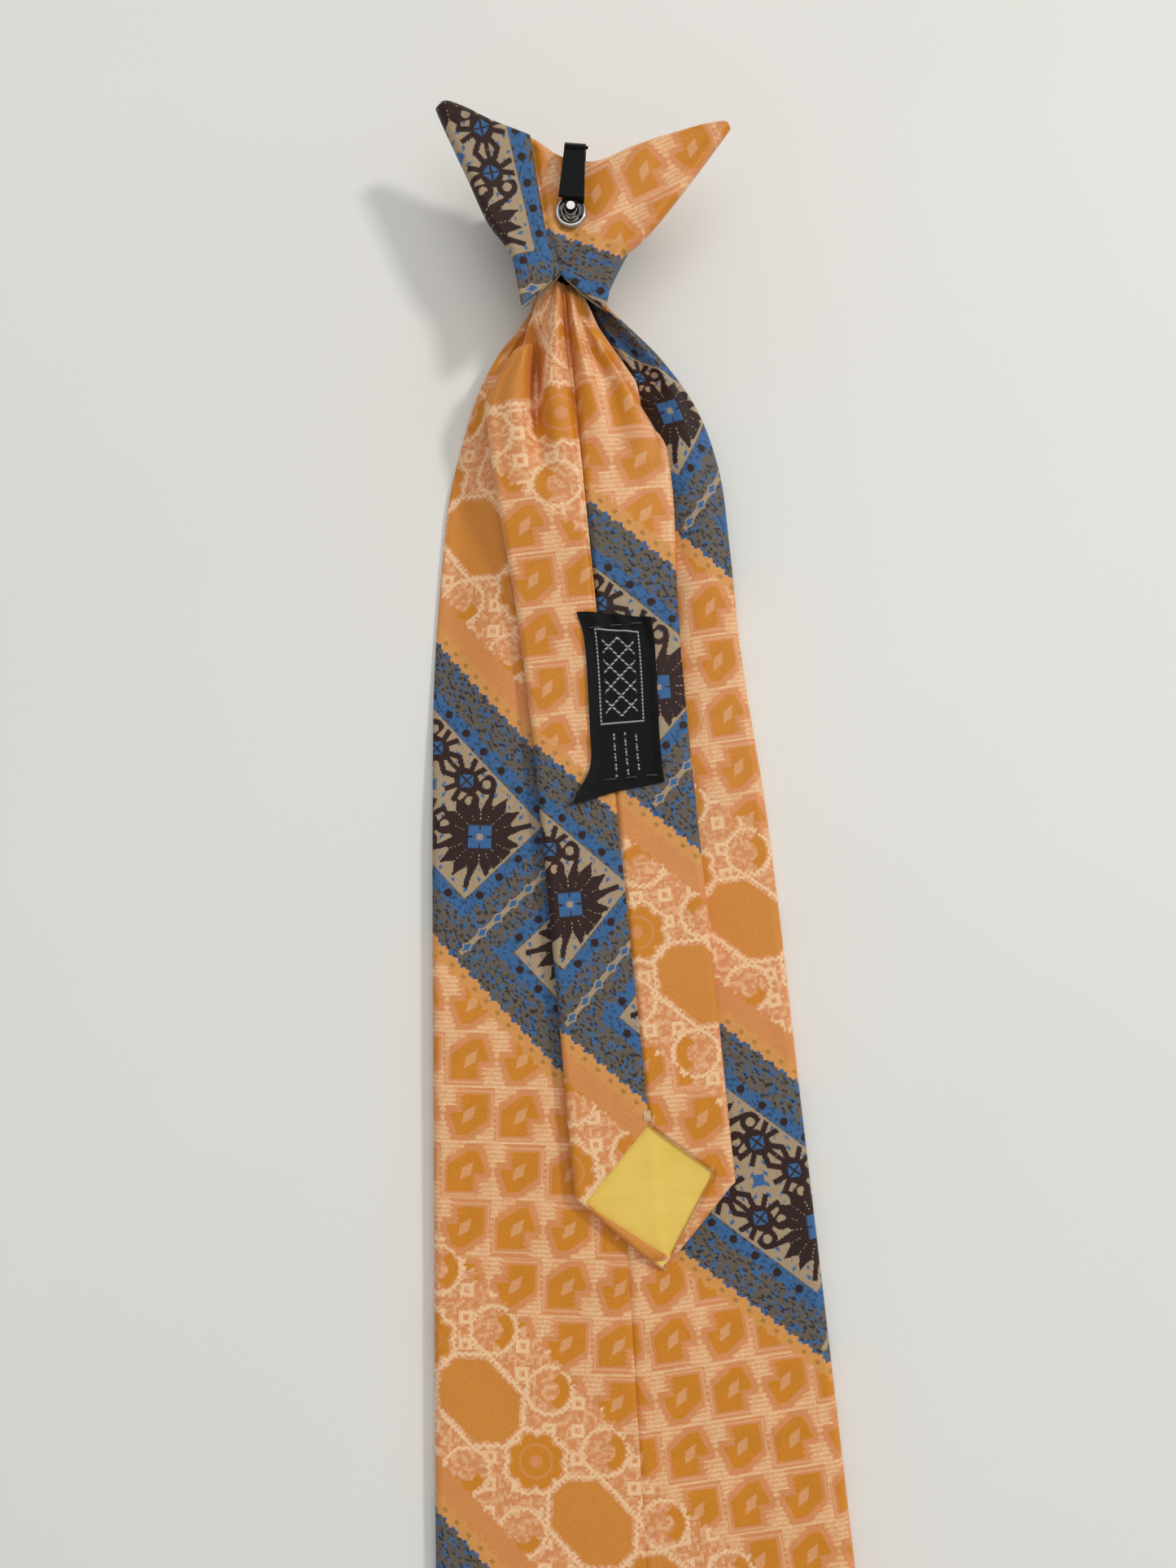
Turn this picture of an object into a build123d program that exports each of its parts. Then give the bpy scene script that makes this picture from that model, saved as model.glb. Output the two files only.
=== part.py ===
"""A ready-tied clip-on necktie, lying on its face.

The frame: +X across the tie, +Y along it towards the knot, +Z out of its back.
The face side of the front blade lies in the plane z = 0.
"""
from build123d import *
from math import cos, radians, sin
import os

os.makedirs("parts", exist_ok=True)

# ---------------------------------------------------------------- whole tie
TIE_LENGTH = 510.0
HALF_LENGTH = TIE_LENGTH / 2
MOUTH_Y = 208.0            # lower end of the knot, where both blades come out
CLIMB_FOOT_Y = 122.0       # below this line the blades lie flat
CLIMB_TOP_Y = 198.0        # above it they run level into the knot
CLIMB = 4.0                # how far they rise between the two
LAYER_GAP = 0.6            # air between the front blade and the tail on it

# ---------------------------------------------------------------- front blade
BLADE_HALF_WIDTH = 50.5    # at the corners above the point
BLADE_UPPER_HALF = 37.2    # half width at BLADE_UPPER_Y
BLADE_UPPER_Y = 100.0
BLADE_SHOULDER = (26.8, 182.0)   # where the side turns in to the knot
BLADE_THICK = 4.0
BLADE_CLOTH = 0.8
BLADE_HEM = 7.0            # cloth turned in around the lining
BLADE_EDGE = 1.2           # cloth turned over at the sides
BLADE_FILL = 1.6           # thickness of the interlining
BLADE_LINING = 0.5
BLADE_AXIS_Y = 207.0       # fold line at the throat
NECK_HALF = 7.0            # half width of both gathered necks

# ---------------------------------------------------------------- tail
TAIL_ANGLE = 2.35          # the tail leans this much in plan, lower end to +X
TAIL_PIVOT = (-1.0, 207.0)
TAIL_HALF_WIDTH = 17.2
TAIL_BELL = (19.7, -36.0)  # where it spreads below the knot, from its pivot
TAIL_BELL_FOOT = -105.0    # where the spread begins
TAIL_LENGTH = 206.0        # from its pivot to its point
TAIL_THICK = 3.0
TAIL_CLOTH = 0.6
TAIL_HEM = 2.2
TAIL_EDGE = 1.0
TAIL_FILL = 1.1
TAIL_LINING = 0.4
TAIL_FOLD = -5.0           # lift hinge, measured along the tail from its pivot
HINGE_CLEARANCE = 0.3
INNER_GAP = 0.1            # between the cloth, the interlining and the lining
INNER_INSET = 0.6          # the interlining stops this far inside the turned edge

# ---------------------------------------------------------------- knot
KNOT_ANGLE = -7.6          # the knot leans this much in plan, top to +X
KNOT_ORIGIN = (-0.3, 212.5)
KNOT_BACK = 20.2           # height of the cloth on its back
KNOT_CLOTH = 0.7
WING_THICK = 3.9
WING_TIP = (31.8, 38.1)    # across and along the knot, from its origin
WING_DIP = 27.4            # top edge between the wings
WING_ROOT = (15.4, 10.9)   # where a wing's lower edge turns down to the throat
THROAT_HALF = 9.3
THROAT_V = -5.5
FORM_THICK = 1.2
FORM_INSET = 1.3           # the wrap stands this far outside the moulded form
WASHER_RADIUS = 2.2
WASHER_THICK = 0.5

# ---------------------------------------------------------------- clip
CLIP_U = -0.4              # centre line of the clip, across the knot
STRIP_THICK = 0.7
BEND_OUTER = 3.05
BEND_V = 26.2              # centre of the bend over the knot's top edge
BEND_Z = 21.45
ARM_END_V = 16.9
ARM_END_Z = 23.3
ARM_TOP_WIDTH = 4.5
ARM_END_WIDTH = 5.5
BALL_RADIUS = 1.4
BALL_V = 15.0
DISH_RADIUS = 3.3
DISH_HOLE = 2.65           # hole in the wrap that the dish sits in
RIVET_RADIUS = 0.7
RIVET_FIT = 0.05
RIVET_HEAD = 1.2
LEG_FOOT_V = 9.5           # end of the strip's leg, inside the knot
SLOT_GAP = 0.15            # room around the strip where it passes the cloth

# ---------------------------------------------------------------- small trim
THREAD = 0.4
BLADE_STITCHES = (24, 6.0)       # number and length
TAIL_STITCHES = (9, 5.0)
BLADE_TACK = 7.0                 # length of the bar tack
TAIL_TACK = 4.0
LABEL_SIZE = (15.0, 38.0)
LABEL_THICK = 0.5
LABEL_CENTRE = (4.0, -84.0)      # across and along the tail, from its pivot
LABEL_TURN = 1.0
LABEL_GAP = 0.05

BLADE_TOP = BLADE_THICK
TAIL_LOW = BLADE_TOP + LAYER_GAP
TAIL_TOP = TAIL_LOW + TAIL_THICK
BLADE_CORNER_Y = -HALF_LENGTH + BLADE_HALF_WIDTH
TAIL_CORNER = -TAIL_LENGTH + TAIL_HALF_WIDTH
TAIL_FOOT = CLIMB_FOOT_Y - TAIL_PIVOT[1]
NECK_LOW_Y = MOUTH_Y - 1.5
NECK_TOP_Y = MOUTH_Y + 4
NECK_TOP = 2.0             # top of the tail's plan, past its pivot
LABEL_LOW = TAIL_TOP + LABEL_GAP
FULL_HEIGHT = KNOT_BACK + 10
HEM_ON_SLANT = 1.4         # a hem of 1 along a 45 degree edge, measured along the tie


def turned_plane(origin, angle, height=0.0):
    """A level plane at a point, turned in plan; its y axis runs up the piece."""
    turn = radians(angle)
    return Plane(
        origin=(origin[0], origin[1], height),
        x_dir=(cos(turn), sin(turn), 0),
        z_dir=(0, 0, 1),
    )


def side_plane(plane):
    """The upright plane through a level plane's y axis, with z up."""
    return Plane(origin=plane.origin, x_dir=plane.y_dir, z_dir=plane.x_dir)


def keep_layer(face):
    """Keep only what lies inside an upright side face carried right across."""
    with BuildPart() as layer:
        extrude(face, amount=BLADE_HALF_WIDTH + 5, both=True)
    add(layer.part, mode=Mode.INTERSECT)


flat_plane = Plane.XY
flat_side = side_plane(flat_plane)
tail_plane = turned_plane(TAIL_PIVOT, TAIL_ANGLE)
tail_side = side_plane(tail_plane)
knot_plane = turned_plane(KNOT_ORIGIN, KNOT_ANGLE)
knot_side = side_plane(knot_plane)


def layer_side(plane, low, thick, tip, foot, top, end, round_end):
    """Side face of a layer that lies flat, climbs to the knot and runs level.

    All distances are along the plane's first axis. A round end is a half circle
    of the layer's thickness about the point (end, middle of the layer).
    """
    middle = (foot + top) / 2
    with BuildSketch(plane) as face:
        with BuildLine():
            Line((tip, low), (foot, low))
            lower = TangentArc((foot, low), (middle, low + CLIMB / 2), tangent=(1, 0))
            TangentArc((middle, low + CLIMB / 2), (top, low + CLIMB), tangent=lower % 1)
            Line((top, low + CLIMB), (end, low + CLIMB))
            if round_end:
                ThreePointArc(
                    (end, low + CLIMB),
                    (end + thick / 2, low + CLIMB + thick / 2),
                    (end, low + CLIMB + thick),
                )
            else:
                Line((end, low + CLIMB), (end, low + CLIMB + thick))
            Line((end, low + CLIMB + thick), (top, low + CLIMB + thick))
            upper = TangentArc(
                (top, low + CLIMB + thick),
                (middle, low + thick + CLIMB / 2),
                tangent=(-1, 0),
            )
            TangentArc((middle, low + thick + CLIMB / 2), (foot, low + thick), tangent=upper % 1)
            Line((foot, low + thick), (tip, low + thick))
            Line((tip, low + thick), (tip, low))
        make_face()
    return face.sketch


def blade_side(low, thick, end=BLADE_AXIS_Y, round_end=False):
    """Side face of one layer of the front blade."""
    return layer_side(
        flat_side, low, thick, -HALF_LENGTH, CLIMB_FOOT_Y, CLIMB_TOP_Y, end, round_end
    )


def tail_side_face(low, thick, end=TAIL_FOLD, round_end=False):
    """Side face of one layer of the tail."""
    top = CLIMB_TOP_Y - TAIL_PIVOT[1]
    return layer_side(tail_side, low, thick, -TAIL_LENGTH, TAIL_FOOT, top, end, round_end)


def blade_plan(inset=0.0):
    """Plan of the front blade, from its point to its gathered neck."""
    with BuildSketch(flat_plane) as face:
        with BuildLine():
            Line((0, -HALF_LENGTH), (BLADE_HALF_WIDTH, BLADE_CORNER_Y))
            Line((BLADE_HALF_WIDTH, BLADE_CORNER_Y), (BLADE_UPPER_HALF, BLADE_UPPER_Y))
            taper = (BLADE_UPPER_HALF - BLADE_HALF_WIDTH, BLADE_UPPER_Y - BLADE_CORNER_Y)
            side = TangentArc((BLADE_UPPER_HALF, BLADE_UPPER_Y), BLADE_SHOULDER, tangent=taper)
            TangentArc(BLADE_SHOULDER, (NECK_HALF, NECK_LOW_Y), tangent=side % 1)
            Line((NECK_HALF, NECK_LOW_Y), (NECK_HALF, NECK_TOP_Y))
            Line((NECK_HALF, NECK_TOP_Y), (0, NECK_TOP_Y))
            mirror(about=Plane.YZ)
        make_face()
        if inset:
            offset(amount=-inset, mode=Mode.REPLACE)
    return face.sketch


def tail_plan(inset=0.0):
    """Plan of the tail, from its point to its fold line below the knot."""
    with BuildSketch(tail_plane) as face:
        with BuildLine():
            Line((0, -TAIL_LENGTH), (TAIL_HALF_WIDTH, TAIL_CORNER))
            Line((TAIL_HALF_WIDTH, TAIL_CORNER), (TAIL_HALF_WIDTH, TAIL_BELL_FOOT))
            bell = TangentArc((TAIL_HALF_WIDTH, TAIL_BELL_FOOT), TAIL_BELL, tangent=(0, 1))
            TangentArc(TAIL_BELL, (NECK_HALF, TAIL_FOLD - 0.5), tangent=bell % 1)
            Line((NECK_HALF, TAIL_FOLD - 0.5), (NECK_HALF, NECK_TOP))
            Line((NECK_HALF, NECK_TOP), (0, NECK_TOP))
            mirror(about=Plane.YZ)
        make_face()
        if inset:
            offset(amount=-inset, mode=Mode.REPLACE)
    return face.sketch


def diamond(plane, tip, corner, half_width, hem, grow=0.0):
    """Lining seen at a blade's point: a square on its corner inside the hem."""
    half = half_width - HEM_ON_SLANT * hem + grow
    with BuildSketch(plane) as face:
        with BuildLine():
            Polyline(
                (0, tip + HEM_ON_SLANT * hem - grow),
                (half, corner),
                (0, corner + half),
                (-half, corner),
                close=True,
            )
        make_face()
    return face.sketch


def seam_groove(plane, top, start, end):
    """Groove between the two turned edges, on the flat part of a blade."""
    with BuildSketch(plane.offset(top - THREAD)) as face:
        with Locations((0, (start + end) / 2)):
            Rectangle(1.5 * THREAD, end - start)
    return face.sketch


def stitch_row(plane, height, start, end, count, length):
    """Stitches lying end to end with gaps, in a groove or on a surface."""
    with BuildPart() as row:
        with BuildSketch(plane.offset(height)):
            with Locations((0, (start + end) / 2)):
                with GridLocations(0, (end - start) / (count - 1), 1, count):
                    SlotOverall(length, THREAD, rotation=90)
        extrude(amount=0.75 * THREAD)
    return row.part


# ================================================================ front blade
BLADE_LINING_TOP = BLADE_CORNER_Y + BLADE_HALF_WIDTH - HEM_ON_SLANT * BLADE_HEM
BLADE_SEAM = (BLADE_LINING_TOP + 4, CLIMB_FOOT_Y - 4)
BLADE_FILL_LOW = BLADE_CLOTH + INNER_GAP
blade_opening = diamond(
    flat_plane.offset(BLADE_TOP - BLADE_CLOTH - 0.01),
    -HALF_LENGTH, BLADE_CORNER_Y, BLADE_HALF_WIDTH, BLADE_HEM,
)

with BuildPart() as blade_cavity:
    extrude(blade_plan(inset=BLADE_EDGE), amount=2 * BLADE_THICK + CLIMB)
    keep_layer(blade_side(BLADE_CLOTH, BLADE_THICK - 2 * BLADE_CLOTH, end=CLIMB_TOP_Y + 3))

with BuildPart() as front_shell:
    extrude(blade_plan(), amount=2 * BLADE_THICK + CLIMB)
    keep_layer(blade_side(0, BLADE_THICK, round_end=True))
    add(blade_cavity.part, mode=Mode.SUBTRACT)
    extrude(blade_opening, amount=BLADE_CLOTH + 1, mode=Mode.SUBTRACT)
    extrude(seam_groove(flat_plane, BLADE_TOP, *BLADE_SEAM), amount=1, mode=Mode.SUBTRACT)
front_shell.part.label = "front_shell"
export_step(front_shell.part, "parts/front_shell.step")

with BuildPart() as front_interlining:
    extrude(blade_plan(inset=BLADE_EDGE + INNER_INSET), amount=2 * BLADE_THICK + CLIMB)
    keep_layer(blade_side(BLADE_FILL_LOW, BLADE_FILL, end=CLIMB_TOP_Y + 2))
front_interlining.part.label = "front_interlining"
export_step(front_interlining.part, "parts/front_interlining.step")

with BuildPart() as front_tipping:
    extrude(
        diamond(
            flat_plane.offset(BLADE_FILL_LOW + BLADE_FILL + INNER_GAP),
            -HALF_LENGTH, BLADE_CORNER_Y, BLADE_HALF_WIDTH, BLADE_HEM, grow=2.5,
        ),
        amount=BLADE_LINING,
    )
front_tipping.part.label = "front_tipping"
export_step(front_tipping.part, "parts/front_tipping.step")

with BuildPart() as front_slip_stitch:
    add(stitch_row(
        flat_plane, BLADE_TOP - THREAD, BLADE_SEAM[0] + 4, BLADE_SEAM[1] - 4, *BLADE_STITCHES
    ))
front_slip_stitch.part.label = "front_slip_stitch"
export_step(front_slip_stitch.part, "parts/front_slip_stitch.step")

with BuildPart() as front_bar_tack:
    with BuildSketch(flat_plane.offset(BLADE_TOP)):
        with Locations((0, BLADE_SEAM[0] - 2)):
            SlotOverall(BLADE_TACK, 2.5 * THREAD)
    extrude(amount=0.5 * THREAD)
front_bar_tack.part.label = "front_bar_tack"
export_step(front_bar_tack.part, "parts/front_bar_tack.step")

# ================================================================ tail
TAIL_LINING_TOP = TAIL_CORNER + TAIL_HALF_WIDTH - HEM_ON_SLANT * TAIL_HEM
TAIL_SEAM = (TAIL_LINING_TOP + 2, TAIL_FOOT - 4)
TAIL_FILL_LOW = TAIL_LOW + TAIL_CLOTH + INNER_GAP
tail_opening = diamond(
    tail_plane.offset(TAIL_TOP - TAIL_CLOTH - 0.01),
    -TAIL_LENGTH, TAIL_CORNER, TAIL_HALF_WIDTH, TAIL_HEM,
)

with BuildPart() as tail_cavity:
    extrude(tail_plan(inset=TAIL_EDGE), amount=FULL_HEIGHT)
    keep_layer(tail_side_face(TAIL_LOW + TAIL_CLOTH, TAIL_THICK - 2 * TAIL_CLOTH, end=TAIL_FOLD - 3))

with BuildPart() as tail_shell:
    extrude(tail_plan(), amount=FULL_HEIGHT)
    keep_layer(tail_side_face(TAIL_LOW, TAIL_THICK, round_end=True))
    add(tail_cavity.part, mode=Mode.SUBTRACT)
    extrude(tail_opening, amount=TAIL_CLOTH + 1, mode=Mode.SUBTRACT)
    extrude(seam_groove(tail_plane, TAIL_TOP, *TAIL_SEAM), amount=1, mode=Mode.SUBTRACT)
tail_shell.part.label = "tail_shell"
export_step(tail_shell.part, "parts/tail_shell.step")

with BuildPart() as tail_interlining:
    extrude(tail_plan(inset=TAIL_EDGE + INNER_INSET), amount=FULL_HEIGHT)
    keep_layer(tail_side_face(TAIL_FILL_LOW, TAIL_FILL, end=TAIL_FOLD - 3.5))
tail_interlining.part.label = "tail_interlining"
export_step(tail_interlining.part, "parts/tail_interlining.step")

with BuildPart() as tail_tipping:
    extrude(
        diamond(
            tail_plane.offset(TAIL_FILL_LOW + TAIL_FILL + INNER_GAP),
            -TAIL_LENGTH, TAIL_CORNER, TAIL_HALF_WIDTH, TAIL_HEM, grow=1.2,
        ),
        amount=TAIL_LINING,
    )
tail_tipping.part.label = "tail_tipping"
export_step(tail_tipping.part, "parts/tail_tipping.step")

with BuildPart() as tail_slip_stitch:
    add(stitch_row(
        tail_plane, TAIL_TOP - THREAD, TAIL_SEAM[0] + 3, TAIL_SEAM[1] - 3, *TAIL_STITCHES
    ))
tail_slip_stitch.part.label = "tail_slip_stitch"
export_step(tail_slip_stitch.part, "parts/tail_slip_stitch.step")

with BuildPart() as tail_bar_tack:
    with BuildSketch(tail_plane.offset(TAIL_TOP)):
        with Locations((0, TAIL_SEAM[0] - 1)):
            SlotOverall(TAIL_TACK, 2 * THREAD, rotation=90)
    extrude(amount=0.5 * THREAD)
tail_bar_tack.part.label = "tail_bar_tack"
export_step(tail_bar_tack.part, "parts/tail_bar_tack.step")

# The gathered top of the tail, which the knot grips. It swings in plan, so its
# end is a half circle about the swing's axis.
TAIL_NECK_RADIUS = NECK_HALF - 0.6
TAIL_NECK_END = TAIL_FOLD + TAIL_THICK / 2 + HINGE_CLEARANCE

with BuildPart() as tail_neck:
    with BuildSketch(tail_plane.offset(TAIL_LOW + CLIMB)):
        with BuildLine():
            Line((-TAIL_NECK_RADIUS, 0), (-TAIL_NECK_RADIUS, TAIL_NECK_END))
            Line((-TAIL_NECK_RADIUS, TAIL_NECK_END), (TAIL_NECK_RADIUS, TAIL_NECK_END))
            Line((TAIL_NECK_RADIUS, TAIL_NECK_END), (TAIL_NECK_RADIUS, 0))
            ThreePointArc((TAIL_NECK_RADIUS, 0), (0, TAIL_NECK_RADIUS), (-TAIL_NECK_RADIUS, 0))
        make_face()
    extrude(amount=TAIL_THICK)
tail_neck.part.label = "tail_neck"
export_step(tail_neck.part, "parts/tail_neck.step")

# ================================================================ label
def label_plan():
    """Plan of the woven label, along the tail's right half."""
    with BuildSketch(tail_plane) as face:
        with Locations(Location((*LABEL_CENTRE, 0), (0, 0, LABEL_TURN))):
            Rectangle(*LABEL_SIZE)
    return face.sketch


with BuildPart() as label:
    extrude(label_plan(), amount=FULL_HEIGHT)
    keep_layer(tail_side_face(LABEL_LOW, LABEL_THICK))
label.part.label = "label"
export_step(label.part, "parts/label.step")

with BuildPart() as label_stitches:
    with BuildSketch(tail_plane):
        for end in (-1, 1):
            for across in (-1, 0, 1):
                place = (
                    LABEL_CENTRE[0] + across * 0.32 * LABEL_SIZE[0],
                    LABEL_CENTRE[1] + end * (LABEL_SIZE[1] / 2 - 2.2),
                )
                with Locations(place):
                    SlotOverall(3, 1.2 * THREAD)
    extrude(amount=FULL_HEIGHT)
    keep_layer(tail_side_face(LABEL_LOW + LABEL_THICK, 0.6 * THREAD))
label_stitches.part.label = "label_stitches"
export_step(label_stitches.part, "parts/label_stitches.step")

# ================================================================ knot
WING_LOW = KNOT_BACK - WING_THICK


def wing_plan(height, inset=0.0):
    """Plan of the knot's back: two swept wings above a tapering throat."""
    tip_u, tip_v = WING_TIP
    with BuildSketch(knot_plane.offset(height)) as face:
        with BuildLine():
            dip = TangentArc((0, WING_DIP), (4, WING_DIP + 0.95), tangent=(1, 0))
            TangentArc((4, WING_DIP + 0.95), (tip_u - 1.2, tip_v + 0.6), tangent=dip % 1)
            ThreePointArc(
                (tip_u - 1.2, tip_v + 0.6), (tip_u, tip_v), (tip_u - 0.1, tip_v - 1.8)
            )
            side = Line((tip_u - 0.1, tip_v - 1.8), WING_ROOT)
            TangentArc(WING_ROOT, (THROAT_HALF, THROAT_V), tangent=side % 1)
            Line((THROAT_HALF, THROAT_V), (0, THROAT_V))
            mirror(about=Plane.YZ)
        make_face()
        if inset:
            offset(amount=-inset, mode=Mode.REPLACE)
    return face.sketch


# Sections of the knot's front, from its throat to its top:
# place along the knot, half width, lowest and highest point.
KNOT_SECTIONS = (
    (-8.0, 9.2, 2.2, 18.4),
    (8.0, 13.0, 0.0, 20.0),
    (19.0, 17.0, 0.0, 20.0),
    (27.4, 18.6, 1.2, 20.0),
)


def knot_core(inset=0.0, trim_top=0.0):
    """Rounded tapering body of the knot's front."""
    with BuildPart() as core:
        for v, half, low, high in KNOT_SECTIONS:
            if v > 20:
                v -= trim_top
            centre = knot_plane.from_local_coords((0, v, (low + high) / 2))
            across = Plane(origin=centre, x_dir=knot_plane.x_dir, z_dir=knot_plane.y_dir)
            with BuildSketch(across):
                RectangleRounded(
                    2 * (half - inset), high - low - 2 * inset, 6.2 - inset
                )
        loft(ruled=True)
    return core.part


def below_mouth():
    """Everything on the blades' side of the knot's mouth."""
    with BuildPart() as block:
        with BuildSketch(Plane.XY):
            with Locations((0, MOUTH_Y - 20)):
                Rectangle(80, 40)
        extrude(amount=40)
    return block.part


def strip_side(gap=0.0):
    """Side face of the whole spring strip: leg, bend over the edge, and arm."""
    inner = BEND_OUTER - STRIP_THICK - gap
    outer = BEND_OUTER + gap
    foot = LEG_FOOT_V - gap
    end = (ARM_END_V, ARM_END_Z)
    with BuildSketch(knot_side) as face:
        with BuildLine():
            Line((foot, BEND_Z - outer), (BEND_V, BEND_Z - outer))
            ThreePointArc(
                (BEND_V, BEND_Z - outer), (BEND_V + outer, BEND_Z), (BEND_V, BEND_Z + outer)
            )
            Line((BEND_V, BEND_Z + outer), (end[0], end[1] + gap))
            Line((end[0], end[1] + gap), (end[0], end[1] - STRIP_THICK - gap))
            Line((end[0], end[1] - STRIP_THICK - gap), (BEND_V, BEND_Z + inner))
            ThreePointArc(
                (BEND_V, BEND_Z + inner), (BEND_V + inner, BEND_Z), (BEND_V, BEND_Z - inner)
            )
            Line((BEND_V, BEND_Z - inner), (foot, BEND_Z - inner))
            Line((foot, BEND_Z - inner), (foot, BEND_Z - outer))
        make_face()
    return face.sketch


def clip_disc(radius, low, high):
    """A round of the riveted stack, on the clip's centre line."""
    with BuildPart() as disc:
        with BuildSketch(knot_plane.offset(low)):
            with Locations((CLIP_U, BALL_V)):
                Circle(radius)
        extrude(amount=high - low)
    return disc.part


LEG_LOW = BEND_Z - BEND_OUTER
LEG_TOP = LEG_LOW + STRIP_THICK
FORM_TOP = LEG_LOW - 0.1
FORM_LOW = FORM_TOP - FORM_THICK
HINGE_V = BEND_V + BEND_OUTER - STRIP_THICK / 2

with BuildPart() as strip_slot:
    extrude(strip_side(gap=SLOT_GAP), amount=2 * ARM_END_WIDTH, both=True)
    with BuildSketch(knot_plane.offset(LEG_LOW - 1)):
        with Locations((CLIP_U, 19)):
            Rectangle(ARM_TOP_WIDTH + 2 * SLOT_GAP, 28)
    extrude(amount=3.2, mode=Mode.INTERSECT)

with BuildPart() as knot_form:
    extrude(wing_plan(FORM_LOW, inset=FORM_INSET), amount=FORM_THICK)
    add(below_mouth(), mode=Mode.SUBTRACT)
    add(clip_disc(RIVET_RADIUS + RIVET_FIT, 0, FULL_HEIGHT), mode=Mode.SUBTRACT)
knot_form.part.label = "knot_form"
export_step(knot_form.part, "parts/knot_form.step")

with BuildPart() as wrap_cavity:
    extrude(wing_plan(WING_LOW + KNOT_CLOTH, inset=0.9), amount=WING_THICK - 2 * KNOT_CLOTH)
    add(knot_core(inset=KNOT_CLOTH, trim_top=KNOT_CLOTH))

with BuildPart() as knot_wrap:
    extrude(wing_plan(WING_LOW), amount=WING_THICK)
    add(knot_core())
    add(wrap_cavity.part, mode=Mode.SUBTRACT)
    add(below_mouth(), mode=Mode.SUBTRACT)
    add(strip_slot.part, mode=Mode.SUBTRACT)
    add(clip_disc(DISH_HOLE, LEG_TOP, FULL_HEIGHT), mode=Mode.SUBTRACT)
knot_wrap.part.label = "knot_wrap"
export_step(knot_wrap.part, "parts/knot_wrap.step")

# Room in the padding for both blades' necks, and for the rivet's lower end.
with BuildPart() as neck_room:
    with BuildSketch(Plane.XY.offset(CLIMB - 1.1)):
        with Locations((TAIL_PIVOT[0], MOUTH_Y + 3)):
            Rectangle(2 * NECK_HALF + 2.6, 14)
    extrude(amount=TAIL_TOP + CLIMB + 1.6)
    add(clip_disc(WASHER_RADIUS + 0.2, TAIL_TOP + CLIMB, FULL_HEIGHT))

with BuildPart() as knot_padding:
    add(knot_core(inset=KNOT_CLOTH + 0.15, trim_top=KNOT_CLOTH + 0.3))
    with BuildSketch(knot_plane):
        with Locations((0, 12)):
            Rectangle(60, 60)
    extrude(amount=FORM_LOW - 0.1, mode=Mode.INTERSECT)
    add(below_mouth(), mode=Mode.SUBTRACT)
    add(neck_room.part, mode=Mode.SUBTRACT)
knot_padding.part.label = "knot_padding"
export_step(knot_padding.part, "parts/knot_padding.step")

# ================================================================ clip
with BuildPart() as clip_base:
    extrude(strip_side(), amount=ARM_TOP_WIDTH, both=True)
    with BuildSketch(knot_plane):
        with Locations((CLIP_U, 19)):
            Rectangle(ARM_TOP_WIDTH, 28)
    extrude(amount=BEND_Z - STRIP_THICK / 2 - 0.05, mode=Mode.INTERSECT)
    add(clip_disc(RIVET_RADIUS + RIVET_FIT, 0, FULL_HEIGHT), mode=Mode.SUBTRACT)
clip_base.part.label = "clip_base"
export_step(clip_base.part, "parts/clip_base.step")

with BuildPart() as clip_arm:
    extrude(strip_side(), amount=2 * ARM_END_WIDTH, both=True)
    with BuildSketch(knot_plane.offset(BEND_Z)):
        with BuildLine():
            Polyline(
                (CLIP_U - ARM_TOP_WIDTH / 2, BEND_V + 5),
                (CLIP_U + ARM_TOP_WIDTH / 2, BEND_V + 5),
                (CLIP_U + ARM_TOP_WIDTH / 2, BEND_V),
                (CLIP_U + ARM_END_WIDTH / 2, ARM_END_V),
                (CLIP_U - ARM_END_WIDTH / 2, ARM_END_V),
                (CLIP_U - ARM_TOP_WIDTH / 2, BEND_V),
                close=True,
            )
        make_face()
    extrude(amount=10, mode=Mode.INTERSECT)
    # Rounded lower end of the bend, about the line on which the strip flexes.
    with BuildSketch(knot_side):
        with Locations((HINGE_V, BEND_Z)):
            Circle(STRIP_THICK / 2)
    extrude(amount=ARM_TOP_WIDTH / 2, both=True)
    # Lip turned down at the end, and the tongue that carries the ball.
    with BuildSketch(knot_side):
        with BuildLine():
            Polyline(
                (ARM_END_V, ARM_END_Z),
                (ARM_END_V - 0.6, ARM_END_Z - 0.25),
                (ARM_END_V - 0.85, ARM_END_Z - 1.2),
                (ARM_END_V - 0.1, ARM_END_Z - 1.35),
                (ARM_END_V, ARM_END_Z - STRIP_THICK),
                close=True,
            )
        make_face()
    extrude(amount=ARM_END_WIDTH / 2 - 0.4, both=True)
    with BuildSketch(knot_plane.offset(ARM_END_Z - 1.0)):
        with Locations((CLIP_U, (BALL_V + ARM_END_V) / 2)):
            SlotOverall(4.2, 2.6, rotation=90)
    extrude(amount=0.6)
    add(clip_disc(0.5, ARM_END_Z - 2, ARM_END_Z), mode=Mode.SUBTRACT)
    add(clip_disc(1.7, ARM_END_Z - 3, ARM_END_Z - 1.05), mode=Mode.SUBTRACT)
clip_arm.part.label = "clip_arm"
export_step(clip_arm.part, "parts/clip_arm.step")

DISH_FLOOR = LEG_TOP + RIVET_FIT
DISH_TOP = KNOT_BACK + 0.7
dish_axis = knot_plane.from_local_coords((CLIP_U, BALL_V, 0))
dish_plane = Plane(origin=dish_axis, x_dir=knot_plane.x_dir, z_dir=-knot_plane.y_dir)

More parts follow.
